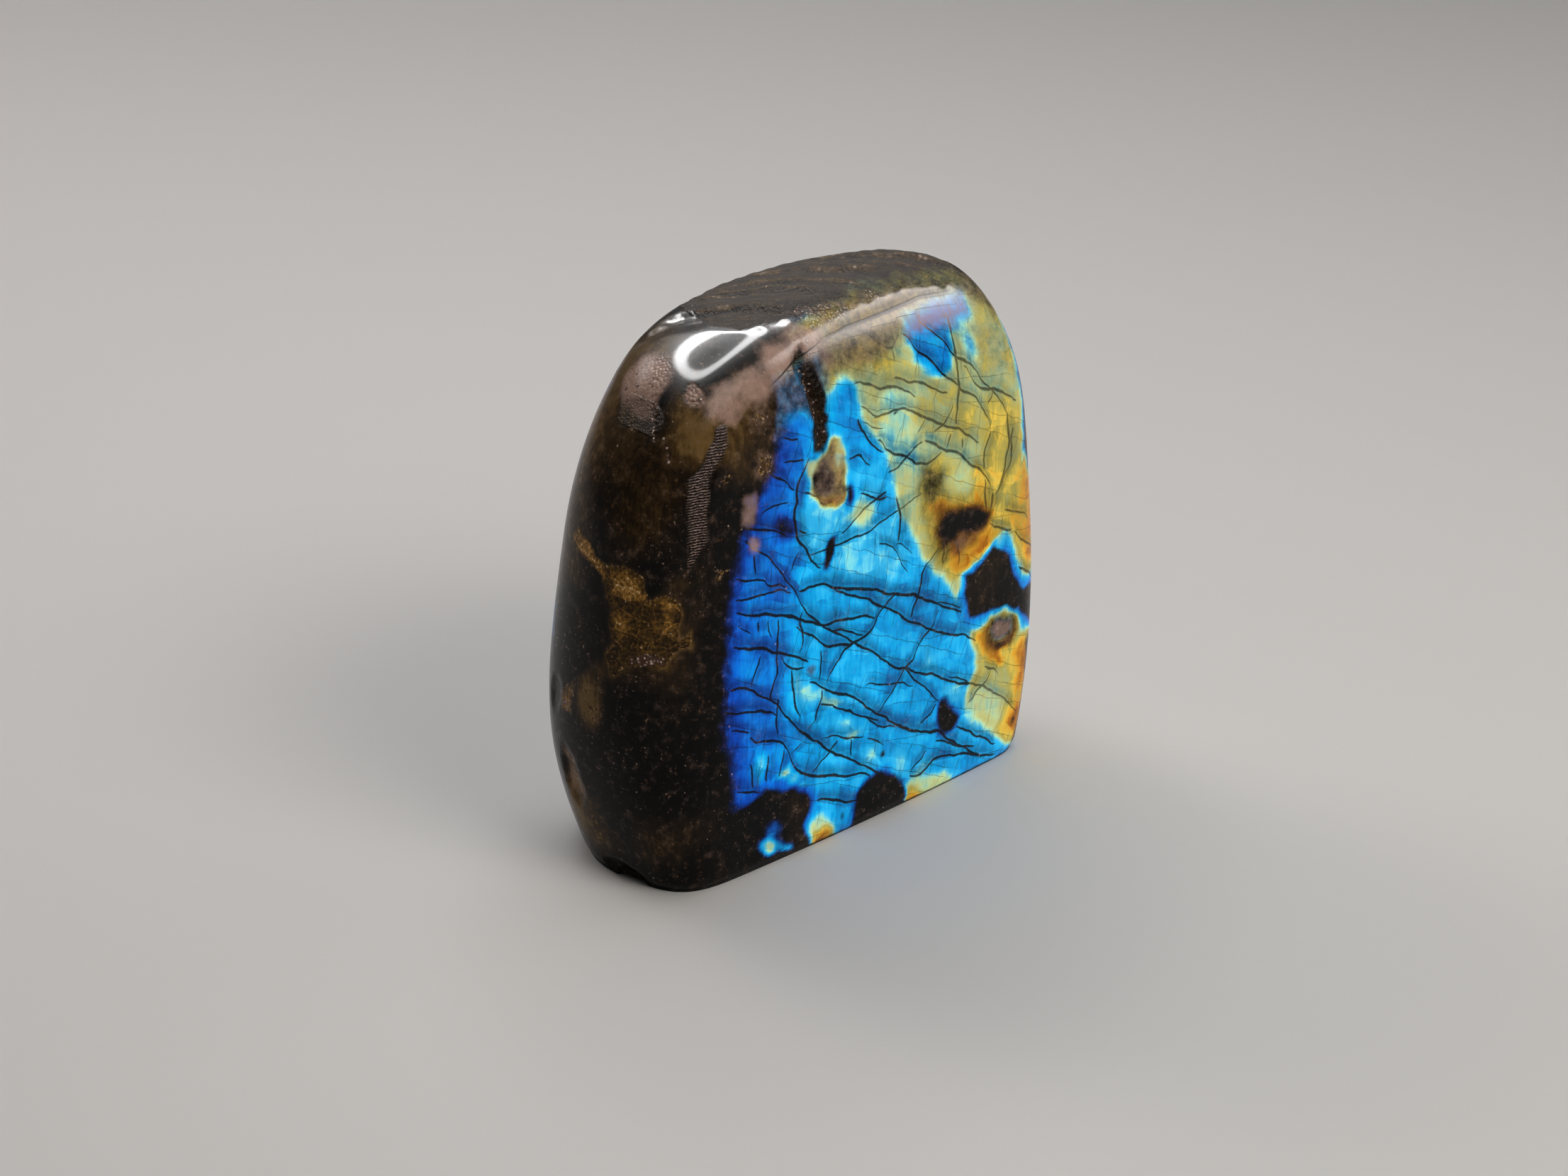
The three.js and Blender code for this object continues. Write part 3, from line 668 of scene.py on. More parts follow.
for _, shape, soft, flakes, pallor, brown, crumbs in ROCK:
    if len(shape) == 4 and isinstance(shape, tuple):
        gap = np.linalg.norm(points + wobble_x[:, None] - shape[:3], axis=1) - shape[3]
    else:
        gap = distance_to(shape, around + wobble_x, points[:, 2] + wobble_z)
    cover = ramp(gap, soft / 2, -soft / 2) * ramp(points[:, 0], 16, 12)
    for values, target in ((gold, flakes), (milk_and_sheen, pallor), (tone, brown), (crust, crumbs)):
        if target is not None:
            values += (target - values) * cover
browner_back = ramp(normals[:, 1], 0, 0.5) * ramp(waves(points, 22, seed=42), -0.2, 0.8)
tone += 0.25 * waves(points, 17, seed=41) + 0.5 * browner_back
tone = np.clip(tone, 0, 1)

# %% Paint what is rough
raw = torn_top.copy()
for furrow, how_raw in ((CRACK, 1), (NICK, 0.5)):
    raw = np.maximum(raw, how_raw * ramp(furrow_depth(points, **furrow), 0.05, 0.3))
HATCHED = [
    (-40.6, 77), (-38.4, 78), (-36.8, 80.5), (-35.4, 84), (-33, 84.6), (-32.4, 81.4), (-34, 79), (-36, 77),
    (-36.1, 70.2), (-36, 66), (-37.4, 64.6), (-38.8, 62), (-39.4, 62), (-39.4, 65), (-40, 69.4),
]
hatch = ramp(distance_to(HATCHED, around + wobble_x, points[:, 2] + wobble_z), 0.4, -0.5)
raw = np.maximum(raw, 0.8 * hatch)
crust = np.maximum(crust, 0.4 * ramp(furrow_depth(points, **CRACK), 0.1, 0.5))
ledge_highlight *= raw
print("rough:", round(100 * float(raw.mean()), 1), "% of the net")

# %% Make the stone's mesh
points = points - normals * depth[:, None]
middle = (points.max(axis=0) + points.min(axis=0)) / 2
node_middle = np.array((node_low + node_high) / 2) / MM
points[:, :2] += node_middle[:2] - middle[:2]
mesh = bpy.data.meshes.new("polished_labradorite")
mesh.from_pydata((points * MM).tolist(), [], faces.tolist())
mesh.polygons.foreach_set("use_smooth", np.ones(len(mesh.polygons), bool))
mesh.update()
painted = dict(
    lamella=lamella, glow=glow, milk_and_sheen=milk_and_sheen, gold=gold, tone=tone, crust=crust, raw=raw, ledge_highlight=ledge_highlight, hatch=hatch,
    groove=groove, grooved=grooved,
)
for name, values in painted.items():
    mesh.attributes.new(name, "FLOAT", "POINT").data.foreach_set("value", values.astype(np.float32))
stone = bpy.data.objects.new("polished_labradorite", mesh)
bpy.context.scene.collection.objects.link(stone)
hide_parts("labradorite")
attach(stone, "root")
print("shifted by", np.round(node_middle[:2] - middle[:2], 2), "mm onto the CAD node")

# %% [markdown]
# ## The stone's material
# The stone is one rock with one polish, so it gets one material. It could be split into a blue, a gold and
# a black one, but their borders would be as sharp as the triangles. Here the borders come from the values
# painted at the points, and noise of a few tenths of a millimetre frays them. Nothing is an image, so it
# stays sharp from anywhere.

# %% A node helper


def add(tree, kind, *values, named=None, **settings):
    """Add one node with its settings and links, and give it back.

    The values go to the sockets in the order in which the node shows them, and None leaves one alone; named
    gives sockets by their names. A value is a number, a colour, another node (its first output) or one of its
    outputs.
    """
    made = tree.nodes.new("ShaderNode" + kind)
    for key, value in settings.items():
        setattr(made, key, value)
    shown = [socket for socket in made.inputs if socket.enabled]
    wanted = list(zip(shown, values))
    wanted += [(made.inputs[key], value) for key, value in (named or {}).items()]
    for socket, value in wanted:
        if isinstance(value, bpy.types.Node):
            value = next(output for output in value.outputs if output.enabled)
        if isinstance(value, bpy.types.NodeSocket):
            tree.links.new(value, socket)
        elif value is not None:
            socket.default_value = value
    return made


# Lapped and polished feldspar: to the eye black glass with depth and coloured light in it. The surface was
# ground flat, rounded over and buffed until it mirrored, except for the broken top and the patches that the
# wheel missed.
polished = bpy.data.materials.new("lapped_labradorite")
polished.use_nodes = True
tree = polished.node_tree
tree.nodes.clear()

# %% [markdown]
# ### Coordinates
# All patterns are measured in millimetres on the stone itself, so a spacing below is the spacing on the
# real thing. A slow, weak noise stirs the coordinates a little, because nothing in a rock is quite
# straight.

# %% Coordinates in millimetres
place = add(tree, "TexCoord").outputs["Object"]
mm = add(tree, "VectorMath", place, 1 / MM, operation="SCALE")
stir = add(tree, "TexNoise", mm, 0.3, 2.0, 0.45, normalize=False)
stirred = add(tree, "VectorMath", stir.outputs["Color"], (0.4, 0.4, 0.4), mm, operation="MULTIPLY_ADD")
here = add(tree, "SeparateXYZ", stirred)
x_mm, z_mm = here.outputs["X"], here.outputs["Z"]

# %% [markdown]
# ### Cracks under the polish
# The feldspar is full of closed cracks that follow its cleavage. They are dark lines up to half a
# millimetre wide, and since they dip into the stone, the plate on one side of each is shaded. They could be
# cut into the mesh, but they don't reach the surface and can't be felt. They could be drawn by a noise, but
# then they wouldn't lie where this stone has them. A crack that runs across is a height for every x, which
# is what a curve node holds, and a vector curve holds three of them. So the cracks were read off the same
# ruler as the patches, and those that don't overlap share a row. A second curve gives each row its
# strength, which fades to nothing at the ends.

# %% Cracks
# strength, then points [x, z] along the crack
ACROSS = [
    (0.9, [(-27.5, 64), (-25, 61.8), (-22.5, 60), (-20.5, 57.4), (-18.7, 55), (-17.2, 52.8), (-16, 50.8),
        (-15, 48.6), (-13.9, 47.2), (-12.2, 45.2), (-10.6, 43.7), (-9, 42), (-7, 40.8), (-4.5, 39),
        (-2, 36.9), (1.5, 34.3), (3.8, 32.5), (6.5, 30), (9.2, 28.2), (10.4, 27.6), (13.1, 24.9),
        (15.4, 22.4), (17.7, 20), (19.6, 18.2)]),
    (1.0, [(-15.7, 51.1), (-12.5, 50.9), (-9.4, 50.5), (-7.5, 49.4), (-3.2, 47.8), (0.3, 46.7), (2.6, 45.7),
        (5.7, 44), (8.8, 42.8), (11.1, 42.1), (13.4, 40.9), (15.7, 39.4), (18, 38.2), (20.3, 36.7),
        (22.6, 35.5), (25, 34)]),
    (0.9, [(-8.5, 50), (-6.3, 48.2), (-4, 47.1), (-1.3, 45.7), (0.3, 44.8), (3, 43), (5.3, 41.7),
        (7.2, 40.3), (9.5, 38.4), (11.3, 36.9), (13.4, 35.9), (15.3, 34.4), (17, 33.4), (19.5, 31.7),
        (22.6, 30.5), (25, 29.6), (27.2, 28.4), (29, 27)]),
    (0.5, [(18, 38.2), (21, 37.3), (25, 35.3)]),
    (1.0, [(-30.5, 45.3), (-28.2, 44.6), (-25.5, 43.6), (-23.2, 42.7), (-21.3, 41.5), (-19.4, 40.7),
        (-17.1, 39.6), (-14.8, 38), (-13, 36.8)]),
    (1.0, [(-13.4, 33.6), (-11.3, 32.1), (-9.4, 30.5), (-6.3, 28.9), (-3.6, 27.4), (-0.9, 25.5),
        (0.5, 23.8), (1.9, 22.6), (4.2, 21), (6.2, 19.5), (8.1, 17.6), (9.6, 16.6), (12.3, 15.1),
        (14.6, 13.9), (16.9, 12.8), (19.2, 12.2), (21.2, 10.5), (23.1, 8.9), (26.2, 6.6), (28.5, 4.3),
        (30.8, 3), (33.5, 2)]),
    (0.8, [(-10.9, 28.3), (-8.6, 27.2), (-7.1, 26.2), (-4.8, 24.9), (-2.5, 23.7), (-0.2, 22), (2, 20.8),
        (4.4, 19.9)]),
    (0.6, [(0, 28.2), (1.5, 27.8), (3.5, 27), (5.8, 26.4), (8.1, 25.7), (10, 25.1), (13.1, 23.9)]),
    (0.9, [(10, 28), (11.9, 27), (14.6, 25.5), (17.3, 24.3), (20, 22.6), (22.3, 21.2), (24.6, 19.9),
        (26.9, 19.3), (29.2, 18.2), (30.8, 17.2), (33.1, 15.5), (36, 13.3), (38.7, 11), (41.5, 8.2)]),
    (0.6, [(21.5, 23), (25, 20.8), (27.7, 19.5)]),
    (0.7, [(0, 21.4), (2.3, 20.1), (4.2, 18.5), (6.9, 17.6), (8.8, 16.8)]),
    (0.6, [(0.8, 17.2), (3.8, 15.7), (5.8, 14.3)]),
    (1.0, [(-31.3, 37.5), (-28.6, 37.1), (-26.3, 35.9), (-24, 34), (-22.1, 32.7), (-20.5, 31),
        (-18.6, 28.7), (-16.7, 26.2), (-15.5, 24.5), (-13.2, 22.8), (-10.9, 20.8), (-9, 18.9), (-7.5, 17.6),
        (-4.8, 15.8), (-2.5, 14.3), (-0.2, 12.4), (2.3, 10.5), (4.6, 9.1)]),
    (0.8, [(-32.8, 33.6), (-30.2, 32.8), (-27.1, 32.1), (-24.4, 31.3), (-21.7, 30), (-20.2, 28.8)]),
    (0.9, [(-27.1, 27.2), (-25.2, 25.8), (-22.8, 25.1), (-20.9, 24.3), (-18.6, 22.6), (-17.8, 20.8),
        (-17, 19), (-15.9, 17.2), (-14.4, 16), (-12.8, 15.1), (-10.6, 13.9), (-8.2, 13), (-6.3, 12.3),
        (-4, 11.7), (-1.5, 10.9), (0.5, 10.2), (2.6, 9.3)]),
    (0.6, [(-31.7, 29.7), (-29, 29.1), (-26.4, 28)]),
    (0.9, [(-11.3, 9.3), (-9.4, 8.7), (-7.1, 7.6), (-4.8, 6.8), (-2.5, 5.8), (-0.5, 5.3)]),
    (0.7, [(-12.5, 15.1), (-10.9, 15.8), (-9, 17.2), (-7.1, 18.5), (-5.5, 19.7)]),
    (0.7, [(-9.8, 21.2), (-7.1, 20.6), (-4.4, 19.3), (-2.1, 18.5), (0.6, 17.8)]),
    (0.7, [(-30, 57.5), (-27.8, 56.9), (-25.5, 56.3), (-23.6, 55.9), (-22.1, 54.4), (-19.8, 53.6),
        (-17.5, 52.7)]),
    (0.7, [(-30, 53.6), (-27.8, 53.4), (-25.5, 53.2), (-22.8, 53), (-20.5, 52.8), (-18.6, 52.3),
        (-16.7, 51.3)]),
    (1.0, [(-29.8, 51.5), (-27.5, 50.7), (-24.8, 49.6), (-22.8, 49.2), (-20.2, 48.2), (-17.8, 47.1),
        (-15.5, 45.9), (-13.2, 44.8), (-10.9, 43.6), (-9, 42.9), (-6.3, 42.8), (-3.6, 42.3), (-1.3, 41.9),
        (1.1, 41.3), (3, 40.3)]),
    (0.6, [(-29.8, 49.4), (-28.2, 47.8), (-25.9, 46.1)]),
    (0.7, [(-20.2, 41.1), (-18.6, 38.6), (-17.1, 37.5), (-14, 36.3)]),
    (0.9, [(-16.3, 44.8), (-14.4, 42.8), (-12.1, 41.7), (-9.8, 39.4), (-7.1, 38.2), (-4.8, 37.5),
        (-2.1, 37.3), (0.3, 37.5), (1.8, 38.6), (3.8, 40.9), (5.3, 42), (6.7, 43), (8.2, 43.3)]),
    (0.7, [(-9.4, 43), (-7.8, 41.3), (-5.5, 40.9), (-3.2, 39.6), (-0.9, 38.2), (0.4, 37.5)]),
    (0.8, [(-9.4, 31.1), (-8.2, 33.2), (-6.3, 35.2), (-4.4, 36.7), (-2.1, 37.2)]),
    (0.8, [(3.5, 21.5), (5.5, 23), (7.7, 25), (9, 26.6), (10.4, 27.8), (12.3, 28.9), (13.4, 30.9),
        (14.9, 32.7), (17.2, 34), (19.2, 36.5)]),
    (0.6, [(3.2, 54.2), (5.7, 53.2), (7.6, 51.9), (9.2, 48.6), (11.1, 46.7)]),
    (0.5, [(7.6, 52.4), (8.6, 52.8), (10.7, 51.3), (12.6, 49.8)]),
    (0.6, [(-13, 57), (-8, 57), (-2, 57.1), (1.1, 57.3), (4.2, 58), (6.5, 58.8), (9.5, 59), (12.2, 60),
        (14.5, 60.5)]),
    (0.7, [(-5.8, 58.8), (-2, 60.3), (-0.5, 61.5), (1.8, 62.3), (4.2, 63), (6, 63.4)]),
    (0.8, [(-30, 68), (-27.7, 66.5), (-25, 65.5), (-22.3, 64.5), (-19.2, 63), (-17.5, 61.6)]),
    (0.6, [(-24.2, 66.5), (-22.3, 68), (-20, 68.4), (-17, 68)]),
    (0.7, [(-22, 75), (-20, 73.4), (-18.1, 72.2), (-16.7, 70.3), (-15.2, 69.2)]),
    (0.7, [(-18.4, 80), (-16.2, 79), (-13.8, 78)]),
    (0.6, [(-18.5, 75.5), (-15.4, 74.9), (-13, 74.2)]),
    (0.7, [(-15.8, 62.6), (-14.2, 61.8), (-12.7, 60.7)]),
    (0.7, [(-14.2, 69.2), (-12.7, 68.4), (-11.2, 67.6), (-9.5, 65.6), (-8, 64.8)]),
    (0.6, [(-3.5, 71.8), (-1.5, 72), (0.8, 70.3), (2.7, 68.4)]),
    (0.7, [(-1.2, 64.9), (1.2, 64), (3.5, 62.6), (6, 62.2)]),
    (0.8, [(-0.8, 84.7), (1.9, 83.8), (5.1, 82.2), (8.9, 81.5), (11.6, 80.1), (14, 78.6)]),
    (0.6, [(0, 80.3), (2.7, 78.4), (6, 77.6)]),
    (0.5, [(0, 77.6), (3, 76), (6, 74.9)]),
    (0.8, [(8.5, 83), (12, 81.8), (14.7, 80.7), (17.4, 79.2), (19.7, 77.6), (22, 76.5)]),
    (0.9, [(2.8, 77.8), (5.8, 77.6), (9.7, 77.4), (12, 76.5), (14.7, 74.7), (17.4, 73), (20.1, 71.5),
        (22.8, 70.3), (25.1, 68.6), (27.8, 66.8), (29.5, 65.7)]),
    (0.9, [(3.5, 73.4), (6, 71), (8.9, 69.2), (10.8, 68.2), (12, 67.2), (14.3, 66.1), (16.2, 65.5),
        (18.5, 66.1), (19.9, 66.8)]),
    (0.7, [(5.8, 66.5), (8.5, 67), (11.2, 68.2), (13.5, 69.7), (15.1, 69.9)]),
    (0.7, [(17, 70.6), (20.1, 71.5), (22.4, 73.8), (23.5, 75.7)]),
    (1.0, [(15.1, 69.9), (17.4, 68.8), (20.1, 67), (22.4, 65.9), (25.1, 64), (27.5, 61.7), (29.9, 59.8),
        (31.5, 57.8), (32.8, 55.2)]),
    (1.0, [(12.8, 89.2), (15.8, 85.7), (18.5, 83.4), (21.2, 80.3), (23.9, 78), (24.7, 76.7), (27, 75.3),
        (28.5, 74.2), (30.1, 71.8), (31.6, 69.9), (32.6, 67.4)]),
    (0.9, [(17.4, 89.9), (20.5, 88), (22.8, 85.3), (25.1, 82.2), (27, 81.1), (28.9, 79.2), (30.8, 76.5),
        (32.8, 74.5), (35.1, 72), (36.6, 69.2), (37.4, 66.1)]),
    (0.9, [(26, 80.6), (28.5, 76.8), (31.2, 74.9), (33.5, 74.3), (35.8, 73.2), (38, 71.5), (40.5, 70)]),
    (0.7, [(31.2, 71.1), (32.8, 73), (34, 74.4)]),
    (0.7, [(33.2, 66.5), (34.7, 64.2)]),
    (0.5, [(3.9, 91.5), (7, 89.7), (9.7, 88), (12.8, 89.2)]),
    (0.8, [(31.5, 49.4), (33.6, 48), (36.1, 46.9), (38.6, 46.1)]),
    (0.7, [(35.7, 51.1), (38.2, 49.8), (40.7, 48.4), (42.7, 47.5), (44.4, 45.7)]),
    (0.9, [(38.6, 45.8), (39.8, 44.4), (41.9, 42.5), (44, 41.1), (46.5, 39.8)]),
    (0.9, [(40, 38.2), (42.3, 36.5), (44.4, 35.3), (46.5, 33.6)]),
    (0.7, [(30.8, 20.7), (32.7, 20.1), (34.6, 19.3), (36, 17.4)]),
    (0.8, [(26.9, 15.1), (29.6, 16.6), (31.9, 17.6), (33.8, 19.7)]),
    (0.9, [(11.9, 5.5), (14.6, 4.7), (16.9, 5.5), (19.2, 6.6), (21.5, 6.2), (23.8, 5.3), (26.9, 4.7),
        (29.2, 3.5), (32.7, 2.2), (36, 1.2)]),
    (0.9, [(23.8, 11.8), (26.9, 9.7), (30, 7.4), (32.7, 5.5), (36, 3.5)]),
    (0.8, [(18.5, 10.5), (21.5, 9.3), (24.6, 7.4), (27.7, 5.8), (30, 5.1)]),
    (0.7, [(11.9, 5.5), (13.1, 7), (15, 8), (17, 9.4)]),
    (0.7, [(14.2, 15.4), (16.9, 16.2), (19.2, 17.8)]),
    (0.7, [(-30.2, 17.4), (-27.1, 16.6), (-24, 15.5)]),
]
UPRIGHT = [
    (0.9, [(-9.4, 53.6), (-10.9, 54.6), (-11.9, 55.7), (-13.6, 58.2), (-15.1, 60.2), (-15.8, 62.6),
        (-15.9, 66.1), (-15.4, 68), (-14.6, 71.1), (-13.1, 73.2), (-12.2, 75)]),
    (0.6, [(-2.7, 14.7), (-2.7, 16.6), (-2.8, 18.9)]),
    (0.7, [(-26.3, 16.6), (-26.3, 19.7), (-26.7, 22.6)]),
    (0.6, [(-22.8, 16.6), (-22.7, 19.3), (-22.5, 22.8)]),
    (0.7, [(-20.5, 25.1), (-20.7, 28.2), (-20.5, 32), (-22.1, 33.2), (-21.7, 35.5), (-20.5, 37.8),
        (-20.7, 40.9), (-20.2, 44.8), (-20, 47.8)]),
    (0.7, [(-13.6, 23.7), (-11.7, 25.5), (-10.5, 28.5), (-10, 31)]),
    (0.7, [(-15.2, 26.6), (-16.1, 28.9), (-16.5, 31.3), (-16.9, 34.8), (-17.1, 37.5)]),
    (0.6, [(-20.2, 16.6), (-19.2, 20.5), (-18.8, 22.8)]),
    (0.6, [(-17.5, 20), (-15.9, 21.6), (-14, 22.8)]),
    (0.7, [(-26.5, 36.3), (-26.3, 37.8), (-24.8, 40.5), (-23.6, 42.5)]),
    (0.6, [(-25, 56.7), (-25.2, 59), (-25.3, 61.5)]),
    (0.6, [(-17.5, 54.8), (-16.3, 57), (-15.2, 59)]),
    (0.5, [(-21.7, 44), (-22.5, 46.7), (-22.5, 48.6)]),
    (0.6, [(-24.8, 45.8), (-24.8, 46.9), (-24.4, 49)]),
    (0.6, [(-15.9, 39.4), (-15, 40.9), (-14.8, 43.2), (-15.2, 45.5), (-14, 47.5)]),
    (0.6, [(-10.9, 32.1), (-10.5, 35.5), (-10.3, 39)]),
    (0.8, [(11.5, 37.1), (12.2, 39), (13.4, 41.3), (14.3, 43.6), (14.7, 45.5), (17.2, 47.5), (19, 49.2)]),
    (0.8, [(8.6, 52.8), (9, 56.3), (8.6, 59.4), (8, 62)]),
    (0.8, [(6, 70.3), (3.5, 72), (1.5, 74.2), (0, 76.5), (-0.5, 79)]),
    (0.8, [(23.5, 70.3), (23.7, 73.8), (24.3, 76.1), (24.7, 79), (24.9, 84), (25.3, 90)]),
    (0.8, [(30.6, 59.6), (30.5, 62.6), (31.6, 65.3), (32.6, 67.4)]),
    (0.6, [(24.5, 65.3), (24.7, 68.4)]),
    (0.6, [(20.6, 66.6), (21.4, 68), (21.8, 70)]),
    (0.9, [(33, 54), (35.3, 56.9), (36.7, 60.7), (37.6, 64.5), (36.9, 67), (37, 69)]),
    (0.7, [(33.6, 54.4), (36.1, 57.3), (38.2, 59.8), (38, 63), (38.6, 66)]),
    (0.7, [(31, 51.5), (30.9, 55.7), (30.5, 58.6)]),
    (0.9, [(31.9, 51.5), (32.8, 54), (32.8, 55.4)]),
    (0.6, [(13.5, 71.5), (15.5, 74.5)]),
    (0.5, [(9.3, 85.3), (9.7, 88)]),
    (0.6, [(23.4, 43.6), (24, 46), (21.6, 50)]),
    (0.6, [(19.6, 44.6), (19.8, 47.5), (19, 50)]),
]
HALF_WIDTH = 0.46  # of the strongest crack, in mm
SHADE_WIDTH = 2.4  # how far its shade reaches
LEAN = 1.0  # how far the shade lies to one side, because the cracks dip into the stone
REACH = 50  # the curve nodes run from -1 to 1, which stands for this many mm either side of the middle
MIDDLE_Z = 49


def share_curves(cracks, axis):
    """Sort cracks into rows without overlaps along the axis, so that a row can share one curve."""
    rows = []
    for strength, path in sorted(cracks, key=lambda crack: min(p[axis] for p in crack[1])):
        path = sorted(path, key=lambda p: p[axis])
        for row in rows:
            if row[-1][1][-1][axis] + 1.6 < path[0][axis]:
                row.append((strength, path))
                break
        else:
            rows.append([(strength, path)])
    return rows


def fill_curve(curve, points):
    """Give a curve of a curve node these points."""
    first, last = curve.points[0], curve.points[-1]
    first.location = (-1, points[0][1])
    last.location = (1, points[-1][1])
    for x, y in points:
        curve.points.new(max(-0.999, min(0.999, x)), y).handle_type = "AUTO_CLAMPED"


def draw_cracks(tree, cracks, axis, along, across, drawn, shaded):
    """Add the cracks, three rows to a pair of curve nodes, and give back the lines and shades so far."""
    rows = share_curves(cracks, axis)
    middles = (0, MIDDLE_Z)
    for start in range(0, len(rows), 3):
        where = add(tree, "VectorCurve", None, along)
        how_strong = add(tree, "VectorCurve", None, along)
        for mapping in (where.mapping, how_strong.mapping):
            mapping.extend = "HORIZONTAL"
        for number in range(3):
            centre_line = [(0, 0)]
            strengths = [(0, 0)]
            if start + number < len(rows):
                centre_line = []
                strengths = []
                for strength, path in rows[start + number]:
                    spots = []
                    for p in path:
                        spots.append(tuple((p[k] - middles[k]) / REACH for k in (axis, 1 - axis)))
                    centre_line += spots
                    low, high = spots[0][0], spots[-1][0]
                    strength = 0.3 + 0.7 * strength
                    strengths += [(low - 0.006, 0), (low + 0.014, strength * 0.8)]
                    strengths += [((low + high) / 2, strength)]
                    strengths += [(high - 0.014, strength * 0.8), (high + 0.006, 0)]
            fill_curve(where.mapping.curves[number], centre_line)
            fill_curve(how_strong.mapping.curves[number], sorted(strengths))
        where.mapping.update()
        how_strong.mapping.update()
        gap = add(tree, "VectorMath", where, across, operation="SUBTRACT")
        lean = add(tree, "VectorMath", gap, (LEAN / REACH,) * 3, operation="ADD")
        lean = add(tree, "VectorMath", lean, operation="ABSOLUTE")
        gap = add(tree, "VectorMath", gap, operation="ABSOLUTE")
        line = add(tree, "VectorMath", gap, (-REACH / HALF_WIDTH,) * 3, how_strong, operation="MULTIPLY_ADD")
        drawn = add(tree, "VectorMath", drawn, line, operation="MAXIMUM")
        fall = (-REACH / SHADE_WIDTH,) * 3
        shade = add(tree, "VectorMath", lean, fall, how_strong, operation="MULTIPLY_ADD")
        shaded = add(tree, "VectorMath", shaded, shade, operation="MAXIMUM")
    print(len(cracks), "cracks in", len(rows), "rows")
    return drawn, shaded


def largest(tree, vector):
    """The largest of a vector's three numbers."""
    parts = add(tree, "SeparateXYZ", vector)
    larger = add(tree, "Math", parts.outputs["X"], parts.outputs["Y"], operation="MAXIMUM")
    return add(tree, "Math", larger, parts.outputs["Z"], operation="MAXIMUM", use_clamp=True)


u = add(tree, "Math", x_mm, 1 / REACH, operation="MULTIPLY")
v = add(tree, "Math", z_mm, 1 / REACH, -MIDDLE_Z / REACH, operation="MULTIPLY_ADD")
u = add(tree, "CombineXYZ", u, u, u)
v = add(tree, "CombineXYZ", v, v, v)
nothing = add(tree, "CombineXYZ", 0.0, 0.0, 0.0)
drawn, shaded = draw_cracks(tree, ACROSS, 0, u, v, nothing, nothing)
drawn, shaded = draw_cracks(tree, UPRIGHT, 1, v, u, drawn, shaded)
crack = largest(tree, drawn)
shade = largest(tree, shaded)

# %% [markdown]
# ### What was painted at the points
# Each of the painted values comes back here as an attribute, blended between the points of the net.

# %% What was painted
stored = {}
for name in painted:
    stored[name] = add(tree, "Attribute", attribute_name=name).outputs["Fac"]
layers = stored["lamella"]
print(len(stored), "painted values:", *stored)

# %% [markdown]
# ### Noise of several sizes
# Fog is the slow change between darker and browner rock over centimetres, grain is the size of a crystal,
# fine is dust. The stripes are the twin lamellae, thin upright bands that the real face shows all over its
# blue.

# %% Noise of several sizes
fog = add(tree, "TexNoise", mm, 0.07, 4.0, 0.6)
grain = add(tree, "TexNoise", mm, 0.5, 5.0, 0.65)
fine = add(tree, "TexNoise", mm, 2.2, 3.0, 0.6)
upright = add(tree, "Mapping", stirred, None, None, (1.0, 1.0, 0.06))
stripes = add(tree, "TexNoise", upright, 1.7, 3.0, 0.6)

# %% [markdown]
# ### Hairline cracks
# Between the drawn cracks run many finer ones, in a few families that are nearly parallel, because cleavage
# has few directions. A one-dimensional Voronoi gives lines at uneven distances, a stretched noise lets only
# stretches of them show, and every slab between two lines gets its own slight tone. A two-dimensional
# Voronoi looked like dried mud here, since its cells meet at equal angles.

# %% Hairline cracks
# Families of long straight splits: direction in degrees, spacing and length of one in mm, how many show
HAIRS = [(-27, 3.4, 15, 0.46), (-13, 4.8, 20, 0.5), (62, 4.2, 11, 0.46), (80, 3.4, 8, 0.52)]
HAIR_WIDTH = 0.15
hair = 0.0
step = 0.0
for direction, spacing, length, share in HAIRS:
    turn = (0.0, -math.radians(direction), 0.0)
    along = add(tree, "Mapping", stirred, None, turn, (length, length, spacing), vector_type="TEXTURE")
    across = add(tree, "SeparateXYZ", along).outputs["Z"]
    lines = add(tree, "TexVoronoi", across, 1.0, voronoi_dimensions="1D", feature="DISTANCE_TO_EDGE")
    line = add(tree, "MapRange", lines, 0.0, HAIR_WIDTH / spacing, 1.0, 0.0, interpolation_type="SMOOTHSTEP")
    stretch = add(tree, "TexNoise", along, 1.0, 1.0, 0.5)
    seen = add(tree, "MapRange", stretch, share, share + 0.12, 0.0, 0.62)
    line = add(tree, "Math", line, seen, operation="MULTIPLY")
    hair = add(tree, "Math", line, hair, operation="MAXIMUM")
    slabs = add(tree, "TexVoronoi", across, 1.0, voronoi_dimensions="1D")
    slab = add(tree, "SeparateColor", slabs.outputs["Color"])
    step = add(tree, "Math", slab.outputs["Red"], 0.25, step, operation="MULTIPLY_ADD")
crack = add(tree, "MapRange", crack, 0.0, 0.62, 0.0, 1.0, interpolation_type="SMOOTHSTEP")
crack = add(tree, "Math", crack, hair, operation="MAXIMUM")

# %% [markdown]
# ### Plates
# The plates between the cracks sit at slightly different angles, so each flashes a little differently. Long
# slanted cells stand for them, and each one looks at another part of a soft noise, so that it has a
# gradient of its own.

# %% Plates between the cracks
PLATE = (11.0, 9.0, 5.0)  # mm
lie = add(tree, "Mapping", stirred, None, (0.0, math.radians(27), 0.0), PLATE, vector_type="TEXTURE")
plates = add(tree, "TexVoronoi", lie, 1.0)
apart = add(tree, "VectorMath", plates.outputs["Color"], (30.0, 30.0, 30.0), mm, operation="MULTIPLY_ADD")
inside = add(tree, "TexNoise", apart, 0.16, 2.0, 0.5)

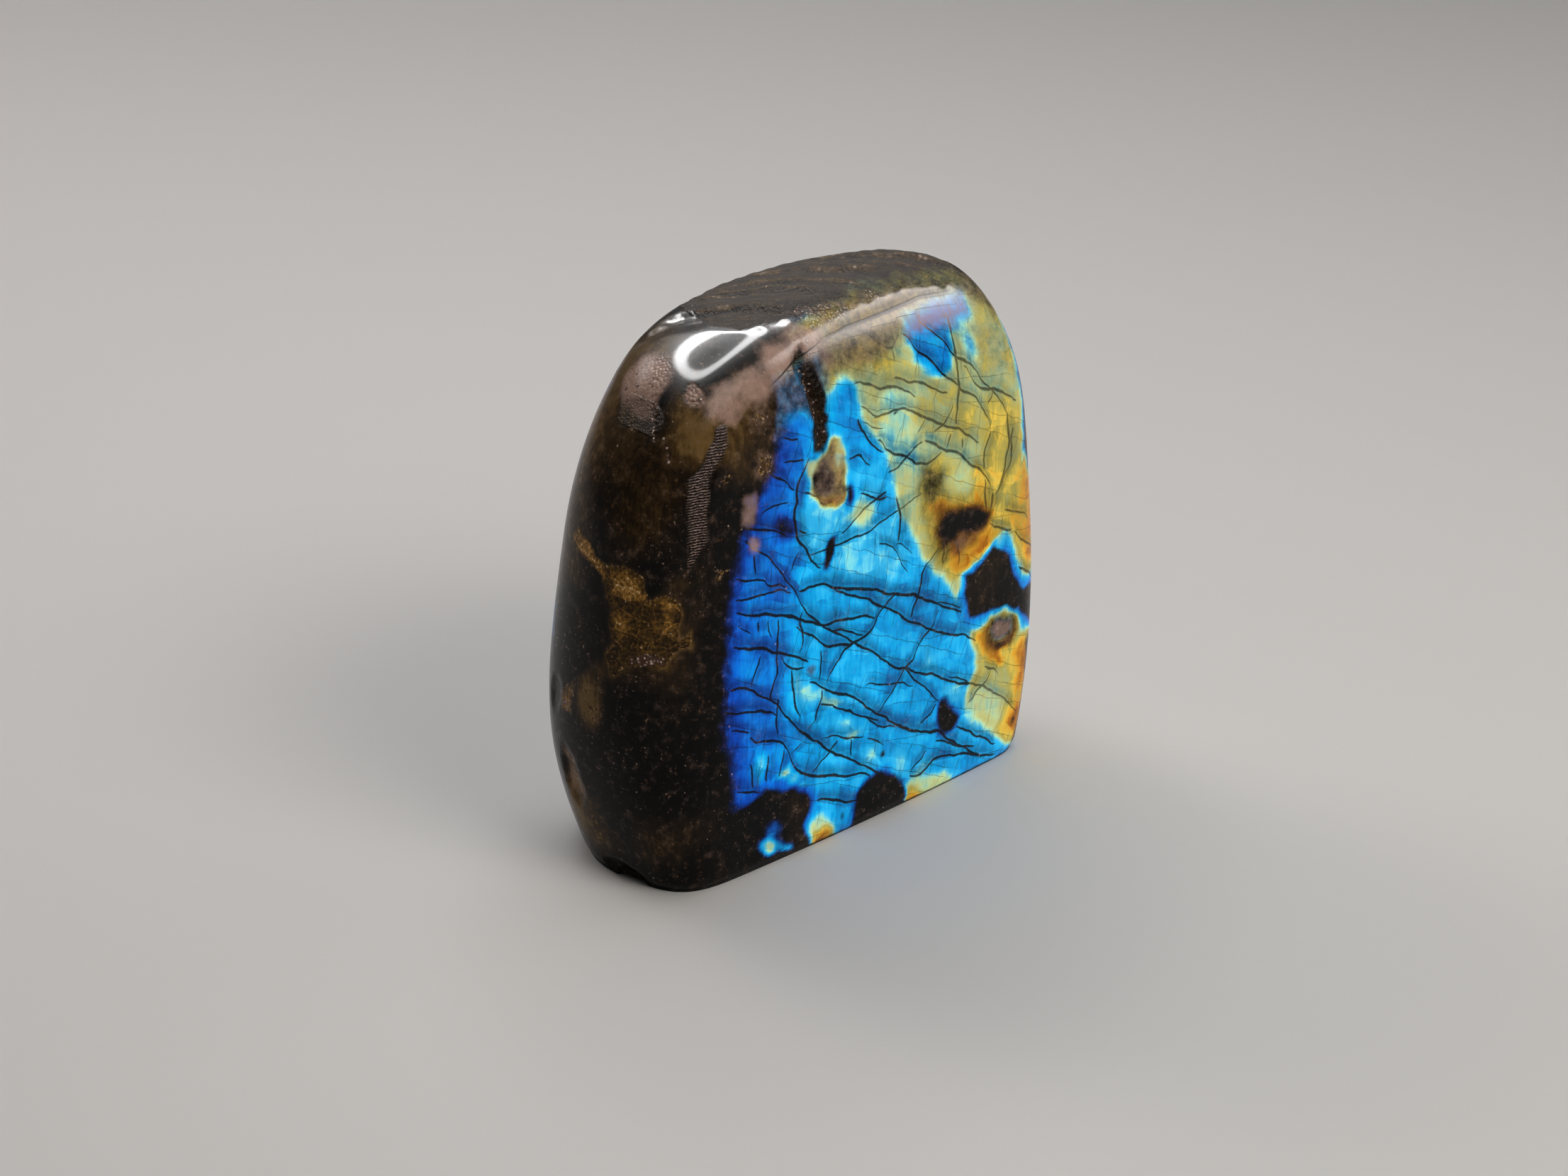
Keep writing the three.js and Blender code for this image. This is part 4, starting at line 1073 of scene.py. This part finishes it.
# %% [markdown]
# ### Colours by position
# Several colours below depend on one number. A colour ramp holds them, and one helper fills it.

# %% A helper for colour ramps


def paint(tree, share, stops):
    """A colour ramp with the given stops: position and sRGB hex colour."""
    made = add(tree, "ValToRGB", share)
    elements = made.color_ramp.elements
    for element, (position, colour) in zip((elements[0], elements[-1]), (stops[0], stops[-1])):
        element.position = position
        element.color = linear(colour)
    for position, colour in stops[1:-1]:
        elements.new(position).color = linear(colour)
    return made.outputs["Color"]


# %% [markdown]
# ### The flash's colour
# The ramp is the order of the interference colours: from dark through violet, blue and cyan to a pale
# white, then yellow, gold and brown, as the layers get thicker. A real iridescent material could compute
# this from a film's thickness, but a thin film changes with the viewing angle all around, while labradorite
# flashes from its layers inside in one direction. So the colours are given and only the thickness varies:
# by plate, slab, grain and stripe.

# %% The flash's colour
tilt = add(tree, "MapRange", inside, 0.3, 0.7, -0.05, 0.05, clamp=False)
tilt = add(tree, "Math", step, 0.1, tilt, operation="MULTIPLY_ADD")
tilt = add(tree, "Math", grain, 0.1, tilt, operation="MULTIPLY_ADD")
tilt = add(tree, "Math", stripes, 0.1, tilt, operation="MULTIPLY_ADD")
layers = add(tree, "Math", layers, tilt, operation="ADD")
layers = add(tree, "Math", shade, -0.05, layers, operation="MULTIPLY_ADD")
layers = add(tree, "Math", layers, 0.15, operation="SUBTRACT")
FLASH = [
    (0.0, "04060C"),
    (0.08, "0A1F5C"),
    (0.16, "0145B4"),
    (0.25, "0164CC"),
    (0.34, "018ADE"),
    (0.42, "02A6EA"),
    (0.5, "2FB9F2"),
    (0.56, "76D2DE"),
    (0.61, "A2DAC0"),
    (0.66, "BDD29C"),
    (0.71, "B8B872"),
    (0.76, "B4A64E"),
    (0.82, "D2B548"),
    (0.88, "D89F28"),
    (0.94, "A8660C"),
    (1.0, "2E1A03"),
]
flash = paint(tree, layers, FLASH)

# %% [markdown]
# ### How strongly it shines
# The flash stops raggedly at the black inclusions, dims in the shade beside a crack and is nearly gone in
# the crack.

# %% How strongly it shines
crack = add(tree, "Math", crack, add(tree, "MapRange", layers, 0.5, 0.66, 1.0, 0.72), operation="MULTIPLY")
ragged = add(tree, "Math", grain, 0.5, stored["glow"], operation="MULTIPLY_ADD")
ragged = add(tree, "Math", fine, 0.2, ragged, operation="MULTIPLY_ADD")
ragged = add(tree, "Math", ragged, 0.35, operation="SUBTRACT")
shine = add(tree, "MapRange", ragged, 0.12, 0.85, 0.0, 1.0, interpolation_type="SMOOTHSTEP")
open_plate = add(tree, "MapRange", crack, 0.0, 0.9, 1.0, 0.03)
clear = add(tree, "MapRange", shade, 0.0, 1.0, 1.0, 0.45)
striped = add(tree, "MapRange", stripes, 0.35, 0.62, 0.86, 1.08)
bright = add(tree, "MapRange", inside, 0.3, 0.7, 0.74, 1.1)
stepped = add(tree, "MapRange", step, 0.25, 0.75, 0.78, 1.1)
for share in (open_plate, clear, striped, bright, stepped):
    shine = add(tree, "Math", shine, share, operation="MULTIPLY", use_clamp=True)

# %% [markdown]
# ### Dark rock
# Away from the flash the polish looks into black rock with brown and olive depths. Where it is milky, tiny
# flaws scatter the light, and the rock turns a pinkish grey. The same pinkish grey also paints sheen on the
# shoulders and under the ridge, a painted reflection of the lamps.

# %% Dark rock under it
murk = add(tree, "Math", fog, 0.7, stored["tone"], operation="MULTIPLY_ADD")
murk = add(tree, "Math", grain, 0.7, murk, operation="MULTIPLY_ADD")
murk = add(tree, "Math", stripes, 0.5, murk, operation="MULTIPLY_ADD")
murk = add(tree, "MapRange", murk, 0.85, 1.95)
ROCK_TONES = [(0.0, "050404"), (0.3, "0E0B08"), (0.55, "241A10"), (0.78, "45331A"), (1.0, "6F5630")]
body = paint(tree, murk, ROCK_TONES)
# Milky rock and painted sheen: a pinkish grey mixed into the dark where milk was painted.
milk_and_sheen_mix = add(tree, "Math", grain, 0.9, stored["milk_and_sheen"], operation="MULTIPLY_ADD")
milk_and_sheen_mix = add(tree, "MapRange", milk_and_sheen_mix, 0.45, 1.35, 0.0, 0.9, interpolation_type="SMOOTHSTEP")
body = add(tree, "Mix", milk_and_sheen_mix, body, linear("BE9C8C"), data_type="RGBA")

# %% [markdown]
# ### Gold flakes
# Along an old crack lie thin leaves that catch the light at their edges. Each cell of a flattened Voronoi
# is a leaf, and its seams and the outline of the whole patch are brighter: painted highlights where the
# leaves catch the light. Dust breaks them up.

# %% Gold flakes in it
LEAF_SIZE = (4.2, 4.2, 2.4)  # mm
leaf_turn = (0.0, math.radians(14), 0.0)
flake_lie = add(tree, "Mapping", stirred, None, leaf_turn, LEAF_SIZE, vector_type="TEXTURE")
flakes = add(tree, "TexVoronoi", flake_lie, 1.0)
flake = add(tree, "SeparateColor", flakes.outputs["Color"])
flake_edge = add(tree, "TexVoronoi", flake_lie, 1.0, feature="DISTANCE_TO_EDGE")
grit = add(tree, "TexNoise", mm, 1.7, 4.0, 0.7)
flaky = add(tree, "Math", grain, 0.5, stored["gold"], operation="MULTIPLY_ADD")
flaky = add(tree, "Math", fine, 0.3, flaky, operation="MULTIPLY_ADD")
leafy = add(tree, "MapRange", flaky, 0.68, 0.73, 0.0, 1.0, interpolation_type="SMOOTHSTEP")
# Painted highlights: a bright outline round the patch and bright seams between the leaves.
rim = add(tree, "MapRange", flaky, 0.71, 0.745, 1.0, 0.0, interpolation_type="SMOOTHSTEP")
rim = add(tree, "Math", rim, add(tree, "MapRange", grit, 0.42, 0.6, 0.05, 0.62), operation="MULTIPLY")
lit_seam = add(tree, "MapRange", flake_edge, 0.0, 0.07, 0.34, 0.0)
lit_seam = add(tree, "Math", lit_seam, fine, operation="MULTIPLY")
sparkle = add(tree, "Math", flake.outputs["Red"], 0.28, stored["gold"], operation="MULTIPLY_ADD")
sparkle = add(tree, "Math", fine, 0.6, sparkle, operation="MULTIPLY_ADD")
sparkle = add(tree, "Math", grain, 0.3, sparkle, operation="MULTIPLY_ADD")
for more in (rim, lit_seam):
    sparkle = add(tree, "Math", sparkle, more, operation="ADD")
sparkle = add(tree, "Math", add(tree, "MapRange", grit, 0.35, 0.7, -0.2, 0.3), sparkle, operation="ADD")
sparkle = add(tree, "MapRange", sparkle, 0.6, 1.75)
LEAF = [
    (0.0, "140D07"),
    (0.3, "33240F"),
    (0.52, "5C431D"),
    (0.72, "94692B"),
    (0.88, "C99A57"),
    (1.0, "F2DDB4"),
]
body = add(tree, "Mix", leafy, body, paint(tree, sparkle, LEAF), data_type="RGBA")

# %% [markdown]
# ### Broken rock and crust
# The top is bare broken rock: brown ribs along the cleavage, turned 41 degrees to the face, with pale lips
# where a ledge ends, painted highlights where light catches the edges. The dull strip beside the flash is a
# sawn or torn patch, hatched with ridges about 0.4 mm apart. Crust is pale grit packed into cracks, so it
# gets round crumbs, with painted light on their tops and painted shade in the gaps between them.

# %% Broken rock and crust
RIB_SIZE = (9.0, 0.9, 4.0)  # mm
lean = add(tree, "Mapping", stirred, None, (0.0, 0.0, math.radians(-41)), RIB_SIZE, vector_type="TEXTURE")
ribs = add(tree, "TexNoise", lean, 1.0, 4.0, 0.65)
# Painted highlight: the lips of the ledges turn pale where the grain lets them show.
lit_edge_seen = add(tree, "MapRange", grain, 0.42, 0.6, 0.05, 0.6)
edge = add(tree, "Math", stored["ledge_highlight"], lit_edge_seen, operation="MULTIPLY")
torn = add(tree, "Math", ribs, 1.1, edge, operation="MULTIPLY_ADD")
torn = add(tree, "Math", fine, 0.45, torn, operation="MULTIPLY_ADD")
torn = add(tree, "MapRange", torn, 0.5, 1.45)
TORN = [
    (0.0, "080605"),
    (0.25, "1D140C"),
    (0.45, "3F2E17"),
    (0.65, "5C4624"),
    (0.84, "7A6248"),
    (1.0, "D8C2B2"),
]
body = add(tree, "Mix", stored["raw"], body, paint(tree, torn, TORN), data_type="RGBA")
bands = add(tree, "TexWave", mm, 0.68, 5.0, 4.0, 1.6, 0.7, bands_direction="Z")
hatched = add(tree, "Math", bands.outputs["Fac"], fine, operation="MULTIPLY")
hatched = paint(tree, hatched, [(0.12, "17100C"), (0.36, "4A382F"), (0.56, "C4A698")])
body = add(tree, "Mix", stored["hatch"], body, hatched, data_type="RGBA")
crumbs = add(tree, "TexVoronoi", mm, 1.6)
crumb = add(tree, "SeparateColor", crumbs.outputs["Color"])
crusted = add(tree, "Math", crumb.outputs["Red"], 0.9, stored["crust"], operation="MULTIPLY_ADD")
crusted = add(tree, "MapRange", crusted, 0.95, 1.2, 0.0, 1.0)
# Painted light and shade: each crumb is pale in its middle and dark in the gaps between crumbs.
crumb_light_and_shade = add(tree, "Math", fine, 1.2, crumbs.outputs["Distance"], operation="MULTIPLY_ADD")
crumb_light_and_shade = paint(tree, crumb_light_and_shade, [(0.62, "EBD9CF"), (0.85, "B4978A"), (1.1, "4A362C")])
body = add(tree, "Mix", crusted, body, crumb_light_and_shade, data_type="RGBA")

# %% [markdown]
# ### The groove under the ridge
# The furrow's bottom is a groove half a millimetre wide, finer than the net. Its distance was stored at the
# points with a sign, so it passes through zero in a straight line between them and the groove stays crisp.
# It is dented by the bump and coloured near black as painted shade, and the flash is shut off in it.

# %% The groove under the ridge
off_line = add(tree, "Math", stored["groove"], operation="ABSOLUTE")
groove_line = add(tree, "MapRange", off_line, 0.25, 1.0, 1.0, 0.0, interpolation_type="SMOOTHSTEP")
groove_line = add(tree, "Math", groove_line, stored["grooved"], operation="MULTIPLY")
# Painted shade: the groove is coloured near black.
body = add(tree, "Mix", groove_line, body, linear("0C0806"), data_type="RGBA")
shut = add(tree, "Math", 1.0, groove_line, operation="SUBTRACT")
shine = add(tree, "Math", shine, shut, operation="MULTIPLY")

# %% [markdown]
# ### Glints
# Tiny flaws inside sparkle, and the sparkle is painted: pale dots, a quarter to half a millimetre wide,
# as painted glints. Most cells of the Voronoi stay empty.

# %% Glints
gritty = add(tree, "MapRange", grain, 0.44, 0.6, 0.0, 0.05)
gritty = add(tree, "Math", grit, gritty, operation="ADD")
gritty = add(tree, "MapRange", gritty, 0.655, 0.7, 0.0, 0.75)
body = add(tree, "Mix", gritty, body, paint(tree, fog, [(0.4, "6E4A26"), (0.6, "A98C7C")]), data_type="RGBA")
# Painted glints: pale dots mixed into the colour where light would catch tiny flaws.
for size, radius, rarity in ((3.1, 0.08, 0.8), (1.3, 0.11, 0.955)):
    glint_cells = add(tree, "TexVoronoi", mm, 1 / size)
    glint_pick = add(tree, "SeparateColor", glint_cells.outputs["Color"])
    chosen = add(tree, "Math", glint_pick.outputs["Blue"], rarity, operation="GREATER_THAN")
    speck = add(tree, "MapRange", glint_cells.outputs["Distance"], 0.6 * radius, radius, 0.85, 0.0)
    speck = add(tree, "Math", speck, chosen, operation="MULTIPLY")
    body = add(tree, "Mix", speck, body, linear("CDB8A8"), data_type="RGBA")

# %% [markdown]
# ### Put together
# Feldspar has an index of refraction of 1.56. On a pale floor that polish mirrors so much white that the
# black turns grey, while the photographed stone stood in the dark. So the polish is a coat of half weight
# with a lower index, 1.22, and the lamps that make its highlights are stronger instead. The polish is
# almost perfect: a roughness of 0.08 gives highlights with a slightly soft edge. Broken rock has no coat.
# The flash is light thrown back by the layers, much brighter than any pigment could be, so part of it is
# emitted.

# %% Put them together
colour = add(tree, "Mix", shine, body, flash, data_type="RGBA")
light = add(tree, "Mix", shine, linear("000000"), flash, data_type="RGBA")
roughness = add(tree, "MapRange", stored["raw"], 0.0, 1.0, 0.35, 0.6)
gloss = add(tree, "MapRange", stored["raw"], 0.0, 0.3, 0.5, 0.0)
height = add(tree, "Math", ribs, 0.6, fine, operation="MULTIPLY_ADD")
height = add(tree, "Math", height, stored["raw"], operation="MULTIPLY")
ribbed = add(tree, "Math", bands.outputs["Fac"], stored["hatch"], operation="MULTIPLY")
height = add(tree, "Math", ribbed, 0.5, height, operation="MULTIPLY_ADD")
crumb_height = add(tree, "Math", crumbs.outputs["Distance"], stored["crust"], operation="MULTIPLY")
height = add(tree, "Math", crumb_height, -0.6, height, operation="MULTIPLY_ADD")
height = add(tree, "Math", groove_line, -0.5, height, operation="MULTIPLY_ADD")
scratches = add(tree, "Mapping", stirred, None, (0.3, 0.5, 0.2), (3.0, 0.35, 0.35), vector_type="TEXTURE")
scratches = add(tree, "TexNoise", scratches, 1.0, 4.0, 0.7)
scuffed = add(tree, "MapRange", z_mm, 78.0, 90.0, 0.006, 0.045, interpolation_type="SMOOTHSTEP")
height = add(tree, "Math", scratches, scuffed, height, operation="MULTIPLY_ADD")
bump = add(tree, "Bump", 0.8, 0.9 * MM, None, height)
surface = add(
    tree,
    "BsdfPrincipled",
    named={
        "Base Color": colour,
        "Roughness": roughness,
        "Specular IOR Level": 0.04,
        "Coat Weight": gloss,
        "Coat Roughness": 0.08,
        "Coat IOR": 1.22,
        "Emission Color": light,
        "Emission Strength": 0.6,
        "Normal": bump,
    },
)
add(tree, "OutputMaterial", surface)
stone.data.materials.append(polished)

# %% [markdown]
# ## Floor
# A plain pale sheet, large enough that its edge stays out of the picture. It is dull, so nothing mirrors in
# it.

# %% Floor
FLOOR_SIZE = 6.0
floor_mesh = bpy.data.meshes.new("floor")
half = FLOOR_SIZE / 2
sheet = [(-half, -half, 0), (half, -half, 0), (half, half, 0), (-half, half, 0)]
floor_mesh.from_pydata(sheet, [], [(0, 1, 2, 3)])
floor = bpy.data.objects.new("floor", floor_mesh)
bpy.context.scene.collection.objects.link(floor)
# Pale matt paper: an even light grey without any gloss, made by leaving its fibres uncoated.
paper = bpy.data.materials.new("pale_paper")
paper.use_nodes = True
paper.node_tree.nodes["Principled BSDF"].inputs["Base Color"].default_value = linear("CBCAC8")
paper.node_tree.nodes["Principled BSDF"].inputs["Roughness"].default_value = 0.9
floor_mesh.materials.append(paper)

# %% [markdown]
# ## Lights
# Four soft lamps. The directions weren't chosen by eye: each highlight in the picture was traced back from
# the camera over the surface's normal. The loop on the dark shoulder needs a ring-shaped lamp above and
# behind the stone, the long sheen under the ridge a wide softbox on the right, and the rest is filled by a
# softbox in front and one behind.

# %% Lights
# name, azimuth, tilt, distance from the stone's middle, width, height, watts, colour
LAMPS = [
    ("front softbox", 8, 42, 0.9, 0.7, 0.5, 9, "FFF9F2"),
    ("right strip", 64, 29, 0.9, 0.85, 0.5, 50, "FFF6F2"),
    ("back softbox", -172, 33, 0.9, 0.6, 0.4, 8, "FFF6F2"),
    ("overhead ring", 147, 70, 0.6, 0.5, 0.76, 112, "FFFFFF"),
]
GLOSS_ONLY = ("right strip", "overhead ring")  # these make highlights without washing out the floor
AIM = np.array([-11.7, -13.0, 48.0]) * MM


def look_at(obj, position, target):
    """Put an object somewhere with its -Z axis, the way a lamp or a camera looks, towards a target."""
    towards = (target - position) / np.linalg.norm(target - position)
    side = np.cross(towards, [0, 0, 1])
    side /= np.linalg.norm(side)
    up = np.cross(side, towards)
    turn = Matrix(np.stack([side, up, -towards], axis=-1).tolist()).to_4x4()
    turn.translation = position.tolist()
    obj.matrix_world = turn


for name, azimuth, tilt, distance, width, height, watts, colour in LAMPS:
    lamp = bpy.data.lights.new(name, "AREA")
    lamp.shape = "RECTANGLE"
    lamp.size = width
    lamp.size_y = height
    lamp.energy = watts
    lamp.color = linear(colour)[:3]
    holder = bpy.data.objects.new(name, lamp)
    bpy.context.scene.collection.objects.link(holder)
    look_at(holder, AIM + facing(azimuth, tilt) * distance, AIM)
    holder.visible_diffuse = name not in GLOSS_ONLY

# %% [markdown]
# ### The shape of the light
# A softbox is brightest in its middle, and a hard-edged rectangle in a highlight looks false. An area
# lamp's nodes know where on the lamp a point is, which is enough to fade the edges and to leave only a ring
# of the fourth lamp.

# %% Shape their light
# A softbox is dimmer towards its edges. Shares of its width or height: sides, foot and head
EDGES = {
    "front softbox": (0.35, 0.35, 0.35),
    "right strip": (0.2, 0.95, 0.15),
    "back softbox": (0.5, 0.5, 0.5),
}
# Where the tube's light starts, is full, wanes and ends, as shares of half the width
RING = (0.5, 0.66, 0.82, 1.0)
for name, *_ in LAMPS:
    lamp = bpy.data.lights[name]
    lamp.use_nodes = True
    tube = lamp.node_tree
    where = add(tube, "NewGeometry").outputs["Parametric"]
    if name in EDGES:
        side, foot, head = EDGES[name]
        spot = add(tube, "SeparateXYZ", where)
        spans = [(spot.outputs["X"], 0, side), (spot.outputs["X"], 1, 1 - side), (spot.outputs["Y"], 0, foot),
                 (spot.outputs["Y"], 1, 1 - head)]
    else:
        spread = add(tube, "VectorMath", where, (2.0, 2.0, 0.0), (-1.0, -1.0, 0.0), operation="MULTIPLY_ADD")
        reach = add(tube, "VectorMath", spread, operation="LENGTH").outputs["Value"]
        spans = [(reach, RING[0], RING[1]), (reach, RING[3], RING[2])]
    lit = 1.0
    for value, dark, full in spans:
        span = (float(dark), float(full), 0.0, 1.0)
        share = add(tube, "MapRange", value, *span, interpolation_type="SMOOTHSTEP")
        lit = add(tube, "Math", lit, share, operation="MULTIPLY")
    tube.links.new(lit.outputs[0], tube.nodes["Emission"].inputs["Strength"])

# %% Air
world = bpy.data.worlds.new("studio")
world.use_nodes = True
world.node_tree.nodes["Background"].inputs["Color"].default_value = linear("8A8A88")
world.node_tree.nodes["Background"].inputs["Strength"].default_value = 0.3
bpy.context.scene.world = world
bpy.context.scene.view_settings.view_transform = "Standard"

# %% [markdown]
# ## Camera
# An 85 mm lens 0.64 m away, turned 43 degrees towards the dark end and 25 degrees above the table, gives
# the outline and the perspective of the picture. Everything is in focus.

# %% Camera
LENS = 85  # mm
SENSOR = 36  # mm
CAMERA_AWAY = 0.64  # metres from the stone's middle
camera_data = bpy.data.cameras.new("camera")
camera_data.lens = LENS
camera_data.sensor_width = SENSOR
camera_data.clip_start = 0.01
camera = bpy.data.objects.new("camera", camera_data)
bpy.context.scene.collection.objects.link(camera)
look_at(camera, AIM + facing(-43, 25) * CAMERA_AWAY, AIM)
bpy.context.scene.camera = camera
